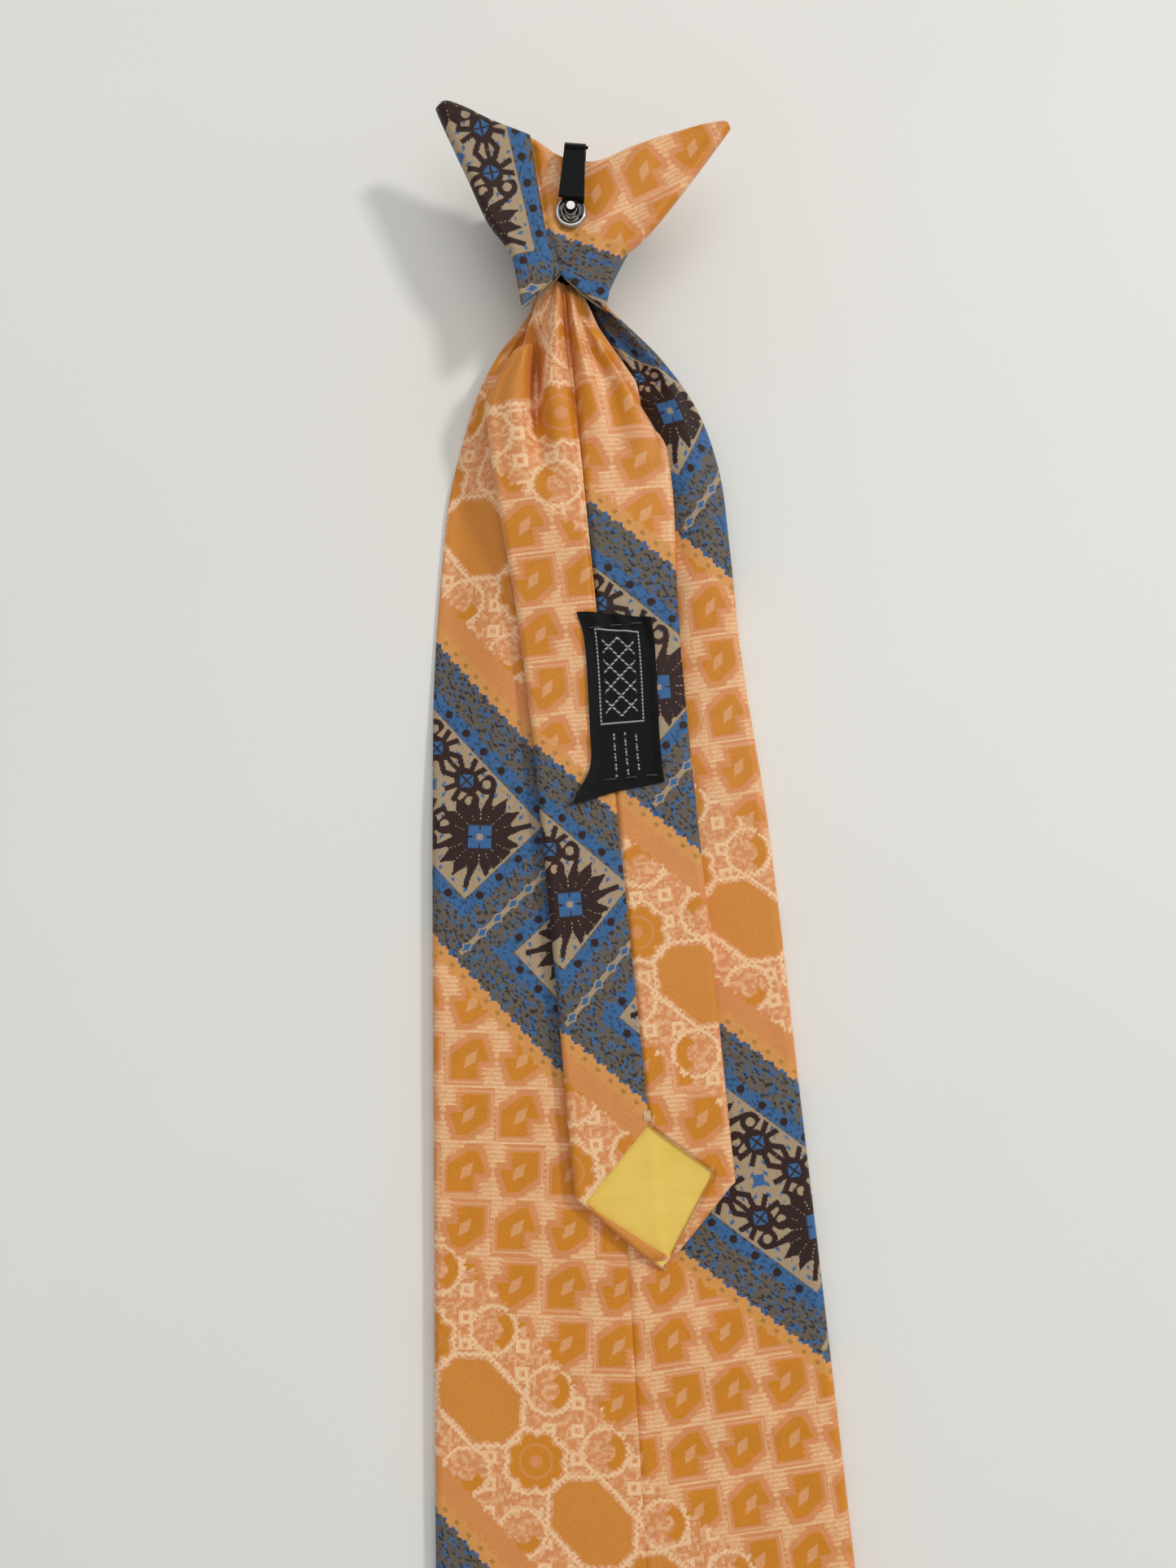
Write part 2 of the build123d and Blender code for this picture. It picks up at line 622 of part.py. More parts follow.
with BuildPart() as clip_dish:
    with BuildSketch(dish_plane):
        with BuildLine():
            Line((RIVET_RADIUS + RIVET_FIT, DISH_FLOOR), (1.5, DISH_FLOOR))
            ThreePointArc((1.5, DISH_FLOOR), (2.25, DISH_FLOOR + 0.35), (2.55, KNOT_BACK + 0.05))
            Line((2.55, KNOT_BACK + 0.05), (DISH_RADIUS, KNOT_BACK + 0.05))
            ThreePointArc(
                (DISH_RADIUS, KNOT_BACK + 0.05),
                (DISH_RADIUS - 0.3, DISH_TOP),
                (2.5, DISH_TOP - 0.25),
            )
            ThreePointArc(
                (2.5, DISH_TOP - 0.25),
                (1.75, DISH_FLOOR + 0.62),
                (RIVET_RADIUS + RIVET_FIT, DISH_FLOOR + 0.4),
            )
            Line((RIVET_RADIUS + RIVET_FIT, DISH_FLOOR + 0.4), (RIVET_RADIUS + RIVET_FIT, DISH_FLOOR))
        make_face()
    revolve(axis=Axis(dish_axis, (0, 0, 1)))
clip_dish.part.label = "clip_dish"
export_step(clip_dish.part, "parts/clip_dish.step")

with BuildPart() as rivet_washer:
    add(clip_disc(WASHER_RADIUS, FORM_LOW - WASHER_THICK, FORM_LOW))
    add(clip_disc(RIVET_RADIUS + RIVET_FIT, FORM_LOW - 1, FORM_LOW + 1), mode=Mode.SUBTRACT)
rivet_washer.part.label = "rivet_washer"
export_step(rivet_washer.part, "parts/rivet_washer.step")

with BuildPart() as dish_rivet:
    add(clip_disc(RIVET_RADIUS, FORM_LOW - WASHER_THICK, DISH_FLOOR + 0.7))
    add(clip_disc(RIVET_HEAD, DISH_FLOOR + 0.62, DISH_FLOOR + 0.8))
    add(clip_disc(RIVET_HEAD + 0.1, FORM_LOW - WASHER_THICK - 0.6, FORM_LOW - WASHER_THICK))
dish_rivet.part.label = "dish_rivet"
export_step(dish_rivet.part, "parts/dish_rivet.step")

with BuildPart() as clip_ball:
    ball_centre = knot_plane.from_local_coords((CLIP_U, BALL_V, DISH_FLOOR + 1.1 + BALL_RADIUS))
    with Locations(ball_centre):
        Sphere(BALL_RADIUS)
    with BuildSketch(knot_plane.offset(ARM_END_Z - 1.0)):
        with Locations((CLIP_U, BALL_V)):
            Circle(3)
    extrude(amount=3, mode=Mode.SUBTRACT)
    add(clip_disc(0.45, ARM_END_Z - 1.5, ARM_END_Z - 0.2))
    add(clip_disc(0.9, ARM_END_Z - 0.4, ARM_END_Z - 0.1))
clip_ball.part.label = "clip_ball"
export_step(clip_ball.part, "parts/clip_ball.step")
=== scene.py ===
import math

import bpy
import numpy as np
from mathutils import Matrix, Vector


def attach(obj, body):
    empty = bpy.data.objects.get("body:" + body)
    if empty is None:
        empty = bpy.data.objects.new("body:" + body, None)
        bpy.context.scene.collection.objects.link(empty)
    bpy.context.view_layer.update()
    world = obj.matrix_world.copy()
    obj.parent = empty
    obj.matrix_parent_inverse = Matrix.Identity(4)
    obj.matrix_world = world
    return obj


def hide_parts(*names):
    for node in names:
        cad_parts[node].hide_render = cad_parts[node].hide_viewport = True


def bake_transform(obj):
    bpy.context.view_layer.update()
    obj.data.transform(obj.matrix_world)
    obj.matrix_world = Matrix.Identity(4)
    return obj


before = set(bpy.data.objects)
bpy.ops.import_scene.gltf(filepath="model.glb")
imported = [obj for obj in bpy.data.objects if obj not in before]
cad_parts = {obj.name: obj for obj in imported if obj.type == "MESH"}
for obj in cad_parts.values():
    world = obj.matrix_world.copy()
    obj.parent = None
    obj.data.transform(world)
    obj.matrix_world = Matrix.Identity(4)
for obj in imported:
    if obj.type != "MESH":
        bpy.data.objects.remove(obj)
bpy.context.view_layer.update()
scene = bpy.context.scene
MM = 0.001

# ======== sizes, mm
FRONT_TIP = -255.0
FRONT_CORNER = (50.5, -204.5)
FRONT_UPPER = (37.2, 100.0)
FRONT_HEM = 9.8            # turned cloth, measured along the tie
FRONT_THICK = 4.0
TAIL_PIVOT = (-1.0, 207.0)
TAIL_TURN = math.radians(2.35)
TAIL_HALF = 17.2
TAIL_LENGTH = 206.0
TAIL_HEM = 3.1
TAIL_LOW = 4.6
TAIL_THICK = 3.0
FRONT_LINING_HEIGHT = 2.6
TAIL_LINING_HEIGHT = 5.9
LINING_UNDER = 2.0         # lining under the turned hem
STITCH_SUNK = 0.55         # how deep a seam's stitches lie below the back
CLIMB_FOOT = 122.0
CLIMB_TOP = 198.0
CLIMB = 4.0
KNOT_TURN = math.radians(-7.6)
KNOT_ORIGIN = (-0.3, 212.5)
KNOT_BACK = 20.2
WING_THICK = 3.9
THROAT_THICK = 1.5         # the wraps' thickness at the throat
LEFT_OVER = 0.8            # how far the left wrap lies over the right one
PLATE_INSIDE = 1.4         # the form plate lies this far under the wraps' top
PLATE_THICK = 1.2
PLATE_SHARE = 0.8          # its size, as a share of the wraps'
PLATE_FIRST_ROW = 30       # it starts this many rows above the throat
CLOTH = 0.55               # thickness of the blades' cloth, and of the other cloths below
KNOT_CLOTH = 0.7
LINING_CLOTH = 0.25
LABEL_CLOTH = 0.35
THREAD = 0.2               # radius of the seams' stitches, and of the threads below
TACK_THREAD = 0.17
LABEL_THREAD = 0.16
HEM_ROLL = 0.2


# ======== small tools
def smooth(low, high, x):
    """0 below low, 1 above high, and an even rise between them."""
    part = np.clip((np.asarray(x, float) - low) / (high - low), 0, 1)
    return part * part * (3 - 2 * part)


def curve(*points):
    """A smooth line through points: a function that gives y for x."""
    px, py = np.array(sorted(points), float).T
    steps = np.diff(py) / np.diff(px)
    slopes = np.concatenate([[steps[0]], (steps[1:] + steps[:-1]) / 2, [steps[-1]]])

    def at(x):
        x = np.clip(np.asarray(x, float), px[0], px[-1])
        k = np.clip(np.searchsorted(px, x) - 1, 0, len(px) - 2)
        width = px[k + 1] - px[k]
        part = (x - px[k]) / width
        return (
            py[k] * (1 + 2 * part) * (1 - part) ** 2
            + slopes[k] * width * part * (1 - part) ** 2
            + py[k + 1] * part * part * (3 - 2 * part)
            + slopes[k + 1] * width * part * part * (part - 1)
        )

    return at


def stack(*columns):
    return np.stack(columns, axis=-1)


def line_through(points, count):
    """Evenly spaced points on a smooth line through the given ones."""
    points = np.array(points, float)
    along = np.concatenate([[0], np.cumsum(np.linalg.norm(np.diff(points, axis=0), axis=1))])
    places = np.linspace(0, along[-1], count)
    return np.stack([curve(*zip(along, column))(places) for column in points.T], axis=-1)


def bumps(x, y, seed, scale):
    """Soft random relief from -1 to 1, from a few sine waves."""
    rng = np.random.default_rng(seed)
    total = 0
    for _ in range(6):
        angle, phase = rng.uniform(0, 2 * math.pi, 2)
        pitch = scale * rng.uniform(0.6, 1.7)
        along = x * math.cos(angle) + y * math.sin(angle)
        total = total + np.sin(along * 2 * math.pi / pitch + phase)
    return total / 3.5


def turned(points, origin, turn):
    """Points of a piece's own frame, moved to the row frame."""
    x, y, z = np.moveaxis(np.asarray(points, float), -1, 0)
    c, s = math.cos(turn), math.sin(turn)
    return stack(origin[0] + x * c - y * s, origin[1] + x * s + y * c, z)


def dense_ends(count, power=2.0):
    """0 to 1, with closer steps at both ends."""
    part = np.linspace(-1, 1, count)
    return 0.5 + 0.5 * np.sign(part) * (1 - (1 - abs(part)) ** power)


def add(name, data):
    """A new object in the scene."""
    made = bpy.data.objects.new(name, data)
    scene.collection.objects.link(made)
    return made


def grid_mesh(name, sheets, weld=False):
    """A mesh from sheets of (points, cloth coordinates), rows by columns, in mm."""
    verts, faces, cloth = [], [], []
    for points, coords in sheets:
        rows, columns = points.shape[:2]
        first = len(verts)
        verts.extend((points * MM).reshape(-1, 3).tolist())
        index = first + np.arange(rows * columns).reshape(rows, columns)
        quads = stack(index[:-1, :-1], index[1:, :-1], index[1:, 1:], index[:-1, 1:])
        faces.extend(quads.reshape(-1, 4).tolist())
        cloth.append(np.asarray(coords, float).reshape(-1, 2))
    mesh = bpy.data.meshes.new(name)
    mesh.from_pydata(verts, [], faces)
    cloth = np.concatenate(cloth)
    corner = np.zeros(len(mesh.loops), np.int32)
    mesh.loops.foreach_get("vertex_index", corner)
    layer = mesh.uv_layers.new(name="cloth")
    layer.data.foreach_set("uv", cloth[corner].astype(np.float32).ravel())
    piece = add(name, mesh)
    if weld:
        join = piece.modifiers.new("weld", "WELD")
        join.merge_threshold = 0.02 * MM
    return piece


def settle(piece, material, thick=0.0, angle=50):
    """Give a sheet its thickness and its material, and shade it smooth."""
    if thick:
        shell = piece.modifiers.new("cloth", "SOLIDIFY")
        shell.thickness = thick * MM
        shell.offset = -1
    shown = piece.evaluated_get(bpy.context.evaluated_depsgraph_get())
    mesh = bpy.data.meshes.new_from_object(shown)
    piece.modifiers.clear()
    piece.data = mesh
    mesh.name = piece.name
    mesh.polygons.foreach_set("use_smooth", [True] * len(mesh.polygons))
    mesh.set_sharp_from_angle(angle=math.radians(angle))
    wear(piece, material)
    return piece


def wear(piece, material):
    piece.data.materials.clear()
    piece.data.materials.append(material)


def cloth_from(points, turn, at, band, flip=False):
    """Cloth coordinates of flat points: turned, with one point at a place of the pattern.

    band is that place as (across the bands, along them).
    """
    c, s = math.cos(turn), math.sin(turn)
    x = points[..., 0] - at[0]
    y = points[..., 1] - at[1]
    sign = -1 if flip else 1
    u = sign * (x * c + y * s) + (band[0] + band[1]) / math.sqrt(2)
    v = sign * (y * c - x * s) + (band[0] - band[1]) / math.sqrt(2)
    return stack(u, v)


# ======== node arithmetic
class Field:
    """A number that varies over a surface. Arithmetic on it adds Math nodes."""

    tree = None

    def __init__(self, socket):
        self.socket = socket

    @staticmethod
    def node(kind):
        return Field.tree.nodes.new("ShaderNode" + kind)

    @staticmethod
    def join(slot, value):
        """Give a socket a field, a colour or a number."""
        if isinstance(value, Field):
            Field.tree.links.new(value.socket, slot)
        elif isinstance(value, tuple):
            slot.default_value = (*value, 1.0)
        else:
            slot.default_value = value

    @staticmethod
    def math(operation, *values, clamp=False):
        node = Field.node("Math")
        node.operation = operation
        node.use_clamp = clamp
        for slot, value in zip(node.inputs, values):
            Field.join(slot, value)
        return Field(node.outputs[0])

    def __add__(self, other):
        return Field.math("ADD", self, other)

    def __sub__(self, other):
        return Field.math("SUBTRACT", self, other)

    def __rsub__(self, other):
        return Field.math("SUBTRACT", other, self)

    def __mul__(self, other):
        return Field.math("MULTIPLY", self, other)

    def __truediv__(self, other):
        return Field.math("DIVIDE", self, other)

    def __neg__(self):
        return Field.math("MULTIPLY", self, -1.0)

    def __abs__(self):
        return Field.math("ABSOLUTE", self)

    __radd__ = __add__
    __rmul__ = __mul__


def ramp(value, rise, start, clamp=False):
    """value times rise, plus start."""
    return Field.math("MULTIPLY_ADD", value, rise, start, clamp=clamp)


def snap(value, step):
    return Field.math("SNAP", value, step)


def least(first, *others):
    for other in others:
        first = Field.math("MINIMUM", first, other)
    return first


def most(first, *others):
    for other in others:
        first = Field.math("MAXIMUM", first, other)
    return first


def wrap(value, period):
    """Distance from the nearest multiple of the period, with its sign."""
    return Field.math("WRAP", value, period / 2, -period / 2)


def wave(value, pitch, phase=0.0):
    """A sine of the given pitch, from -1 to 1."""
    return Field.math("SINE", ramp(value, 2 * math.pi / pitch, phase))


def slant(x, y, turn, offset=0.0):
    """x cos + y sin - offset: the distance past a line."""
    return Field.math(
        "MULTIPLY_ADD", x, math.cos(turn), ramp(y, math.sin(turn), -offset)
    )


def inside(distance, soft=0.14):
    """1 where the distance is negative, 0 outside, with a soft edge."""
    return ramp(distance, -1 / soft, 0.5, clamp=True)


def box(x, y, half_x, half_y):
    """Signed distance to a box about the origin."""
    return most(abs(x) - half_x, abs(y) - half_y)


def rod(x, y, centre, turn, half_length, half_width):
    """Signed distance to a straight bar."""
    x = x - centre[0]
    y = y - centre[1]
    return box(slant(x, y, turn), slant(x, y, turn + math.pi / 2), half_length, half_width)


def length(x, y):
    return Field.math("SQRT", ramp(x, x, y * y))


def mix(first, second, share):
    """Colour between two, by share."""
    node = Field.node("Mix")
    node.data_type = "RGBA"
    node.clamp_factor = True
    for place, value in ((0, share), (6, first), (7, second)):
        Field.join(node.inputs[place], value)
    return Field(node.outputs[2])


def paint(colour, *coats):
    """Lay coats over a colour, each of (colour, signed distance of its shape, softness)."""
    for coat, *shape in coats:
        colour = mix(colour, coat, inside(*shape))
    return colour


def together(x, y, z=0.0):
    node = Field.node("CombineXYZ")
    for slot, value in zip(node.inputs, (x, y, z)):
        Field.join(slot, value)
    return Field(node.outputs[0])


def noise(vector, scale, detail=2.0, rough=0.5):
    node = Field.node("TexNoise")
    node.inputs["Scale"].default_value = scale
    node.inputs["Detail"].default_value = detail
    node.inputs["Roughness"].default_value = rough
    Field.join(node.inputs["Vector"], vector)
    return Field(node.outputs["Fac"])


def cloth_place():
    """The two cloth coordinates of a piece, in mm."""
    uv = Field.node("UVMap")
    uv.uv_map = "cloth"
    split = Field.node("SeparateXYZ")
    Field.tree.links.new(uv.outputs["UV"], split.inputs[0])
    return Field(split.outputs[0]), Field(split.outputs[1])


def object_place():
    """The surface's place in the row frame, in metres."""
    node = Field.node("TexCoord")
    return Field(node.outputs["Object"])


def srgb(red, green, blue):
    """Linear colour from 8-bit display values."""
    values = (red / 255, green / 255, blue / 255)
    return tuple(c / 12.92 if c <= 0.04045 else ((c + 0.055) / 1.055) ** 2.4 for c in values)


def new_material(name):
    """An empty material and its shader; Field then writes into its nodes."""
    material = bpy.data.materials.new(name)
    material.use_nodes = True
    tree = material.node_tree
    tree.nodes.clear()
    Field.tree = tree
    output, shader = Field.node("OutputMaterial"), Field.node("BsdfPrincipled")
    tree.links.new(shader.outputs[0], output.inputs["Surface"])
    return material, shader


def set_inputs(shader, **values):
    """Set shader sockets by name, with spaces written as underscores."""
    for name, value in values.items():
        Field.join(shader.inputs[name.replace("_", " ")], value)


def raise_surface(shader, height, depth, strength=1.0):
    """Bump: height from 0 to 1 stands for depth mm."""
    node = Field.node("Bump")
    node.inputs["Strength"].default_value = strength
    node.inputs["Distance"].default_value = depth * MM
    Field.join(node.inputs["Height"], height)
    Field.tree.links.new(node.outputs[0], shader.inputs["Normal"])


# ======== the woven pattern
REPEAT = 125.4             # from band to band, across
BAND_HALF = 21.9
PANEL_HALF = 11.6          # half width of the cream panels in a band
PANEL_LENGTH = 23.8        # half length of a cream panel
PANEL_REPEAT = 63.6
LACE_END = 60.9            # the lace zone ends this far above a band's middle
MOTIF_PITCH = (11.2, 11.9)
OCTAGON_REPEAT = 34.6
FLOWER_PLACE = 16.1        # from the middle of a panel, along the band
WEFT, WARP = 0.3, 0.24     # steps of the woven picture
LACE_ROW = 22.0            # from the band's edge to the middle of the octagons
OCTAGON = (7.3, 10.4)      # half sizes
STRIP_OUT = 1.7            # from a panel's edge to the middle of the blue strip
DOT_PITCH = 5.8

ORANGE = srgb(214, 134, 28)
ORANGE_RIB = srgb(218, 142, 66)
SALMON = srgb(224, 146, 90)
PEACH = srgb(228, 162, 106)
PALE = srgb(250, 204, 156)
FRINGE = srgb(222, 154, 80)
OLIVE = srgb(146, 108, 38)
BLUE = srgb(54, 102, 153)
GREY = srgb(102, 91, 78)
INK = srgb(22, 19, 22)
CREAM = srgb(174, 151, 121)
BROWN = srgb(42, 15, 10)


def checkerboard(u, v):
    """Bevelled motifs, every other one upside down, on a ribbed ground."""
    row = Field.math("FLOOR", ramp(u, 1 / MOTIF_PITCH[0], 0.5))
    column = Field.math("FLOOR", ramp(v, 1 / MOTIF_PITCH[1], 0.5))
    odd = Field.math("FLOORED_MODULO", row + column, 2.0)
    sign = ramp(odd, -2.0, 1.0)
    p = wrap(u, MOTIF_PITCH[0]) * sign
    q = wrap(v, MOTIF_PITCH[1]) * sign
    shape = most(
        box(p, q, 4.1, 4.3), slant(p, q, math.radians(126), 3.3), slant(p, q, math.radians(20), 3.7)
    )
    shape = most(shape, slant(p, q, math.radians(-20), 3.7))
    notch = least(p - 1.5 + wave(q, 1.1) * 0.3, -0.5 - q)
    shape = most(shape, notch)
    lens = abs(slant(p, q, math.radians(54))) / 2.4 + abs(slant(p, q, math.radians(144))) / 1.15
    corner = most(abs(most(-p, -q) - 5.0) - 0.22, most(p, q) - 3.0)
    return shape, (lens - 1.0) * 0.9, corner


def melange(u, v):
    """Blue lumps and short dark ticks on grey."""
    stepped = together(
        snap(u, 0.5),
        snap(v + wave(u, 3.7) * 0.6, 0.62),
    )
    lumps = ramp(noise(stepped, 0.6, 1.0), 12.0, -6.3, clamp=True)
    thread = together(snap(slant(u, v, math.radians(24)), 0.42), v * 0.5)
    ticks = ramp(noise(thread, 1.9, 0.0), 10.0, -5.6, clamp=True)
    return lumps, ticks


def flower(x, y):
    """Signed distance to a star flower, and the fine lines between its petals."""
    radius = length(x, y)
    angle = Field.math("ARCTAN2", y, x)
    petals = abs(wave(angle, math.pi / 4))
    between = abs(wave(angle, math.pi / 4, math.pi / 2))
    longer = abs(wave(angle, math.pi, math.pi / 2))
    reach = ramp(between, -2.7, ramp(longer, 1.9, 8.7))
    veins = most((petals - 0.1) * 2.0, 3.6 - radius, 0.25 - abs(wrap(radius, 0.9)))
    return radius - reach, veins


def panel_motifs(a, b):
    """Brown and blue shapes of a cream panel, in its folded quarter."""
    fx, fy = a, b - FLOWER_PLACE
    petals, veins = flower(fx, fy)
    sticks = least(*(
        box(slant(fx, fy, turn), slant(fx, fy, turn + math.pi / 2), 11.6, 0.58)
        for turn in (math.radians(31), math.radians(-31))
    ))
    p = abs(slant(fx, fy, math.pi / 4))
    q = abs(slant(fx, fy, -math.pi / 4))
    eye = most(p, q) - 2.5
    slits = least(most(p - 0.2, 1.5 - q), most(q - 0.2, 1.5 - p))
    eye = most(eye, -slits)
    pip = most(p, q) - 0.62
    px, py = a - 6.3, b - 5.0
    body = length(px, py * 0.75) - 2.5
    hollow = most(abs(px) + abs(py) - 2.0, 0.24 - abs(px), 0.2 - abs(py))
    claws = most(abs(length(abs(px) - 2.6, py - 3.7) - 1.6) - 0.62, 2.2 - py)
    legs = least(
        rod(abs(px), py, (3.5, 0.6), math.radians(16), 1.9, 0.62),
        rod(abs(px), py, (3.1, -1.3), math.radians(-24), 1.9, 0.6),
        rod(abs(px), py, (1.6, -3.5), math.radians(-62), 2.1, 0.62),
    )
    stem = rod(px, py, (0.3, -3.4), math.radians(86), 1.6, 0.5)
    arms = least(claws, legs, stem)
    brown = least(most(petals, -veins), sticks, body, arms)
    blue = least(eye, hollow, a + b - 1.7)
    return brown, blue, pip, least(petals, body)


def woven_pattern(u, v):
    """Colour, height and roughness of the tie's cloth at a place on it."""
    u = snap(u + WEFT / 2, WEFT)
    v = snap(v + WARP / 2, WARP)
    s = slant(u, v, math.pi / 4)
    t = slant(u, v, -math.pi / 4)
    grain = together(u, v)
    across = wrap(s, REPEAT)
    a = abs(across)
    ragged = wave(t, 3.3) * 0.32 + wave(t, 1.25) * 0.2
    threads = ramp(wave(u, 0.62), 0.5, 0.5)
    ribs = ramp(wave(v, 0.98), 0.5, 0.5)
    speck = noise(grain, 1.6, 2.0, 0.7)
    cloudy = noise(grain, 0.09, 2.0)

    # Ground with motifs.
    shape, lens, corner = checkerboard(u, v)
    blocks = ramp(wave(v, 5.95, 0.6) + wave(u, 5.6, 0.4), 1.5, 0.9, clamp=True)
    ground = mix(PEACH, PALE, ribs * 0.6 + blocks * 0.25 + (speck - 0.5) * 0.9)
    ground = mix(ground, SALMON, inside(shape - 1.45 - wave(v, 1.3) * 0.25, 0.3))
    ground = mix(ground, PALE, inside(corner, 0.2) * 0.4)
    motif = most(shape, -lens)
    ground = mix(ground, ORANGE, inside(motif))
    ground = mix(ground, PEACH, inside(most(lens, shape)))
    height = inside(motif, 0.5) * 0.25 + ribs * blocks * 0.3

    # Lace, in a chain of octagons and rosettes along the band.
    lace_s = across - BAND_HALF - LACE_ROW
    lace_t = wrap(t, OCTAGON_REPEAT)
    octagon = most(box(lace_s, lace_t, *OCTAGON), (abs(lace_s) + abs(lace_t) - 12.8) * 0.7071)
    rose_t = wrap(t + OCTAGON_REPEAT / 2, OCTAGON_REPEAT)
    rose_angle = Field.math("ARCTAN2", rose_t, lace_s)
    rose_far = length(lace_s, rose_t)
    rose = rose_far - ramp(abs(wave(rose_angle, math.pi / 2)), 1.1, 4.7)
    hook_s = abs(lace_s) - 12.0
    hook_t = wrap(t + 8.6, OCTAGON_REPEAT / 2)
    hook_far = length(hook_s, hook_t)
    hook = most(abs(hook_far - 3.1) - 1.05, least(hook_t + 1.0, hook_s + 1.5) * -1.0)
    free = least(octagon, rose, hook_far - 4.0)
    square = abs(box(wrap(u, 6.1), wrap(v, 5.7), 1.0, 1.0)) - 0.1
    square = most(square, 1.6 - free)
    knobs = wave(u, 1.5) * wave(v, 1.35) * 0.35 + (speck - 0.5) * 1.1
    cord = least(abs(octagon - 0.3), abs(rose - 1.1), abs(hook_far - 4.9))
    cord = least(cord - 0.42 - knobs, square - 0.32)
    grains = together(snap(u, 0.6), snap(v, 0.5))
    beads = ramp(noise(grains, 0.8, 1.0), 7.0, -3.2, clamp=True)
    twill = ramp(wave(s + t * 0.35, 0.85), 0.5, 0.5)
    lace = paint(
        mix(SALMON, PALE, beads * 0.55),
        (ORANGE, least(hook, rose), 0.3),
        (mix(ORANGE, ORANGE_RIB, twill * 0.6 + 0.3), octagon + 0.7, 0.3),
        (SALMON, least(rose_far - 1.3, abs(rose_far - 3.4) - 0.2), 0.3),
        (PALE, cord, 0.25),
        (mix(ORANGE_RIB, SALMON, twill), across - BAND_HALF - 7.5 - ragged, 0.3),
    )
    lace_middle, lace_half = (BAND_HALF + LACE_END) / 2, (LACE_END - BAND_HALF) / 2
    in_lace = inside(abs(across - lace_middle) - lace_half - ragged * 2, 0.3)
    colour = mix(ground, lace, in_lace)
    height = mix_number(height, inside(cord, 0.4) * 0.35 + twill * 0.15 + beads * 0.15, in_lace)

    # Fringe along the band's edges.
    fringe = inside(a - BAND_HALF - 2.7 - ragged, 0.3)
    knots = inside(box(wrap(t, 3.6), a - BAND_HALF - 1.4, 0.5, 0.4), 0.3) * (speck * 1.3)
    colour = mix(colour, mix(FRINGE, OLIVE, knots), fringe)

    # The band: grey and blue, with dotted strips around cream panels.
    lumps, ticks = melange(u, v)
    along = wrap(t, PANEL_REPEAT)
    b = abs(along)
    edge = most(a - PANEL_HALF, b - PANEL_LENGTH)
    tiles = wave(s, 2.9) * wave(t, 2.9) * 0.5
    blue_strip = least(abs(edge - STRIP_OUT) - 1.6 + tiles * 0.7, BAND_HALF - 0.45 - a)
    dot_s = length(a - PANEL_HALF - STRIP_OUT, wrap(b - DOT_PITCH / 2, DOT_PITCH))
    dot_t = length(b - PANEL_LENGTH - STRIP_OUT, wrap(a - DOT_PITCH / 2, DOT_PITCH))
    dot_far = least(dot_s + inside(PANEL_LENGTH - b) * 9.0, dot_t + inside(PANEL_HALF - a) * 9.0)
    chain_far = abs(b - PANEL_REPEAT / 2)
    chain = most(chain_far - 0.55, a - BAND_HALF + 1.5)
    links = most(chain_far + abs(wrap(s, 4.6)) * 0.6 - 0.75, a - BAND_HALF + 1.5)
    band = paint(
        mix(mix(GREY, BLUE, lumps * 0.9), INK, ticks * 0.85),
        (mix(BLUE, INK, ticks * 0.55), blue_strip + (0.5 - lumps) * 0.5, 0.3),
        (BROWN, dot_far - 0.9),
        (CREAM, least(chain, links - 0.4)),
        (BLUE, links),
    )
    brown, blue, pip, busy = panel_motifs(a, b)
    flecks = box(wrap(u, 2.9), wrap(v + wave(u, 5.8) * 0.7, 2.3), 0.42, 0.42)
    flecks = most(flecks, 0.9 - busy)
    panel = paint(CREAM, (BLUE, flecks, 0.2), (BROWN, brown), (BLUE, blue), (CREAM, pip))
    rim = inside(edge)
    band = mix(band, mix(panel, CREAM, inside(-edge - 0.45)), rim)
    in_band = inside(a - BAND_HALF - ragged)
    colour = mix(colour, band, in_band)
    raised = inside(brown, 0.4) * rim * 0.3 + lumps * 0.25 - ticks * 0.5
    height = mix_number(height, raised, in_band)

    # Weave over everything.
    height = height + threads * 0.08 + speck * 0.25
    shade = ramp(threads, 0.03, ramp(speck, 0.36, 0.80))
    shade = shade + (cloudy - 0.5) * 0.14
    colour = tint(colour, shade)
    rough = ramp(speck, 0.2, ramp(in_band, 0.18, 0.33))
    return colour, height, rough


def mix_number(first, second, share):
    """A number between two, by share."""
    return ramp(second - first, share, first)


def tint(colour, share):
    """A colour made darker or lighter by a number."""
    node = Field.node("VectorMath")
    node.operation = "SCALE"
    Field.join(node.inputs[0], colour)
    Field.join(node.inputs["Scale"], share)
    return Field(node.outputs[0])


def make_tie_cloth():
    material, shader = new_material("tie_cloth")
    u, v = cloth_place()
    colour, height, rough = woven_pattern(u, v)
    set_inputs(
        shader, Base_Color=colour, Roughness=rough, Sheen_Weight=0.1, Sheen_Roughness=0.4,
        Specular_IOR_Level=0.36,
    )
    raise_surface(shader, height, 0.3, 0.8)
    return material


def make_lining():
    material, shader = new_material("yellow_lining")
    u, v = cloth_place()
    grain = together(u, v)
    weave = ramp(wave(u, 0.5) * wave(v, 0.5), 0.5, 0.5)
    folds_and_shade = noise(grain, 0.09, 3.0)
    # Painted shade: the yellow is darker in the folds' hollows and lighter on their tops, and faintly
    # so along the weave.
    colour = mix(srgb(232, 194, 78), srgb(248, 216, 108), folds_and_shade + (weave - 0.5) * 0.12)
    set_inputs(
        shader, Base_Color=colour, Roughness=ramp(folds_and_shade, 0.2, 0.38),
        Sheen_Weight=0.2, Specular_IOR_Level=0.4,
    )
    raise_surface(shader, weave * 0.1 + folds_and_shade, 0.6, 0.7)
    return material


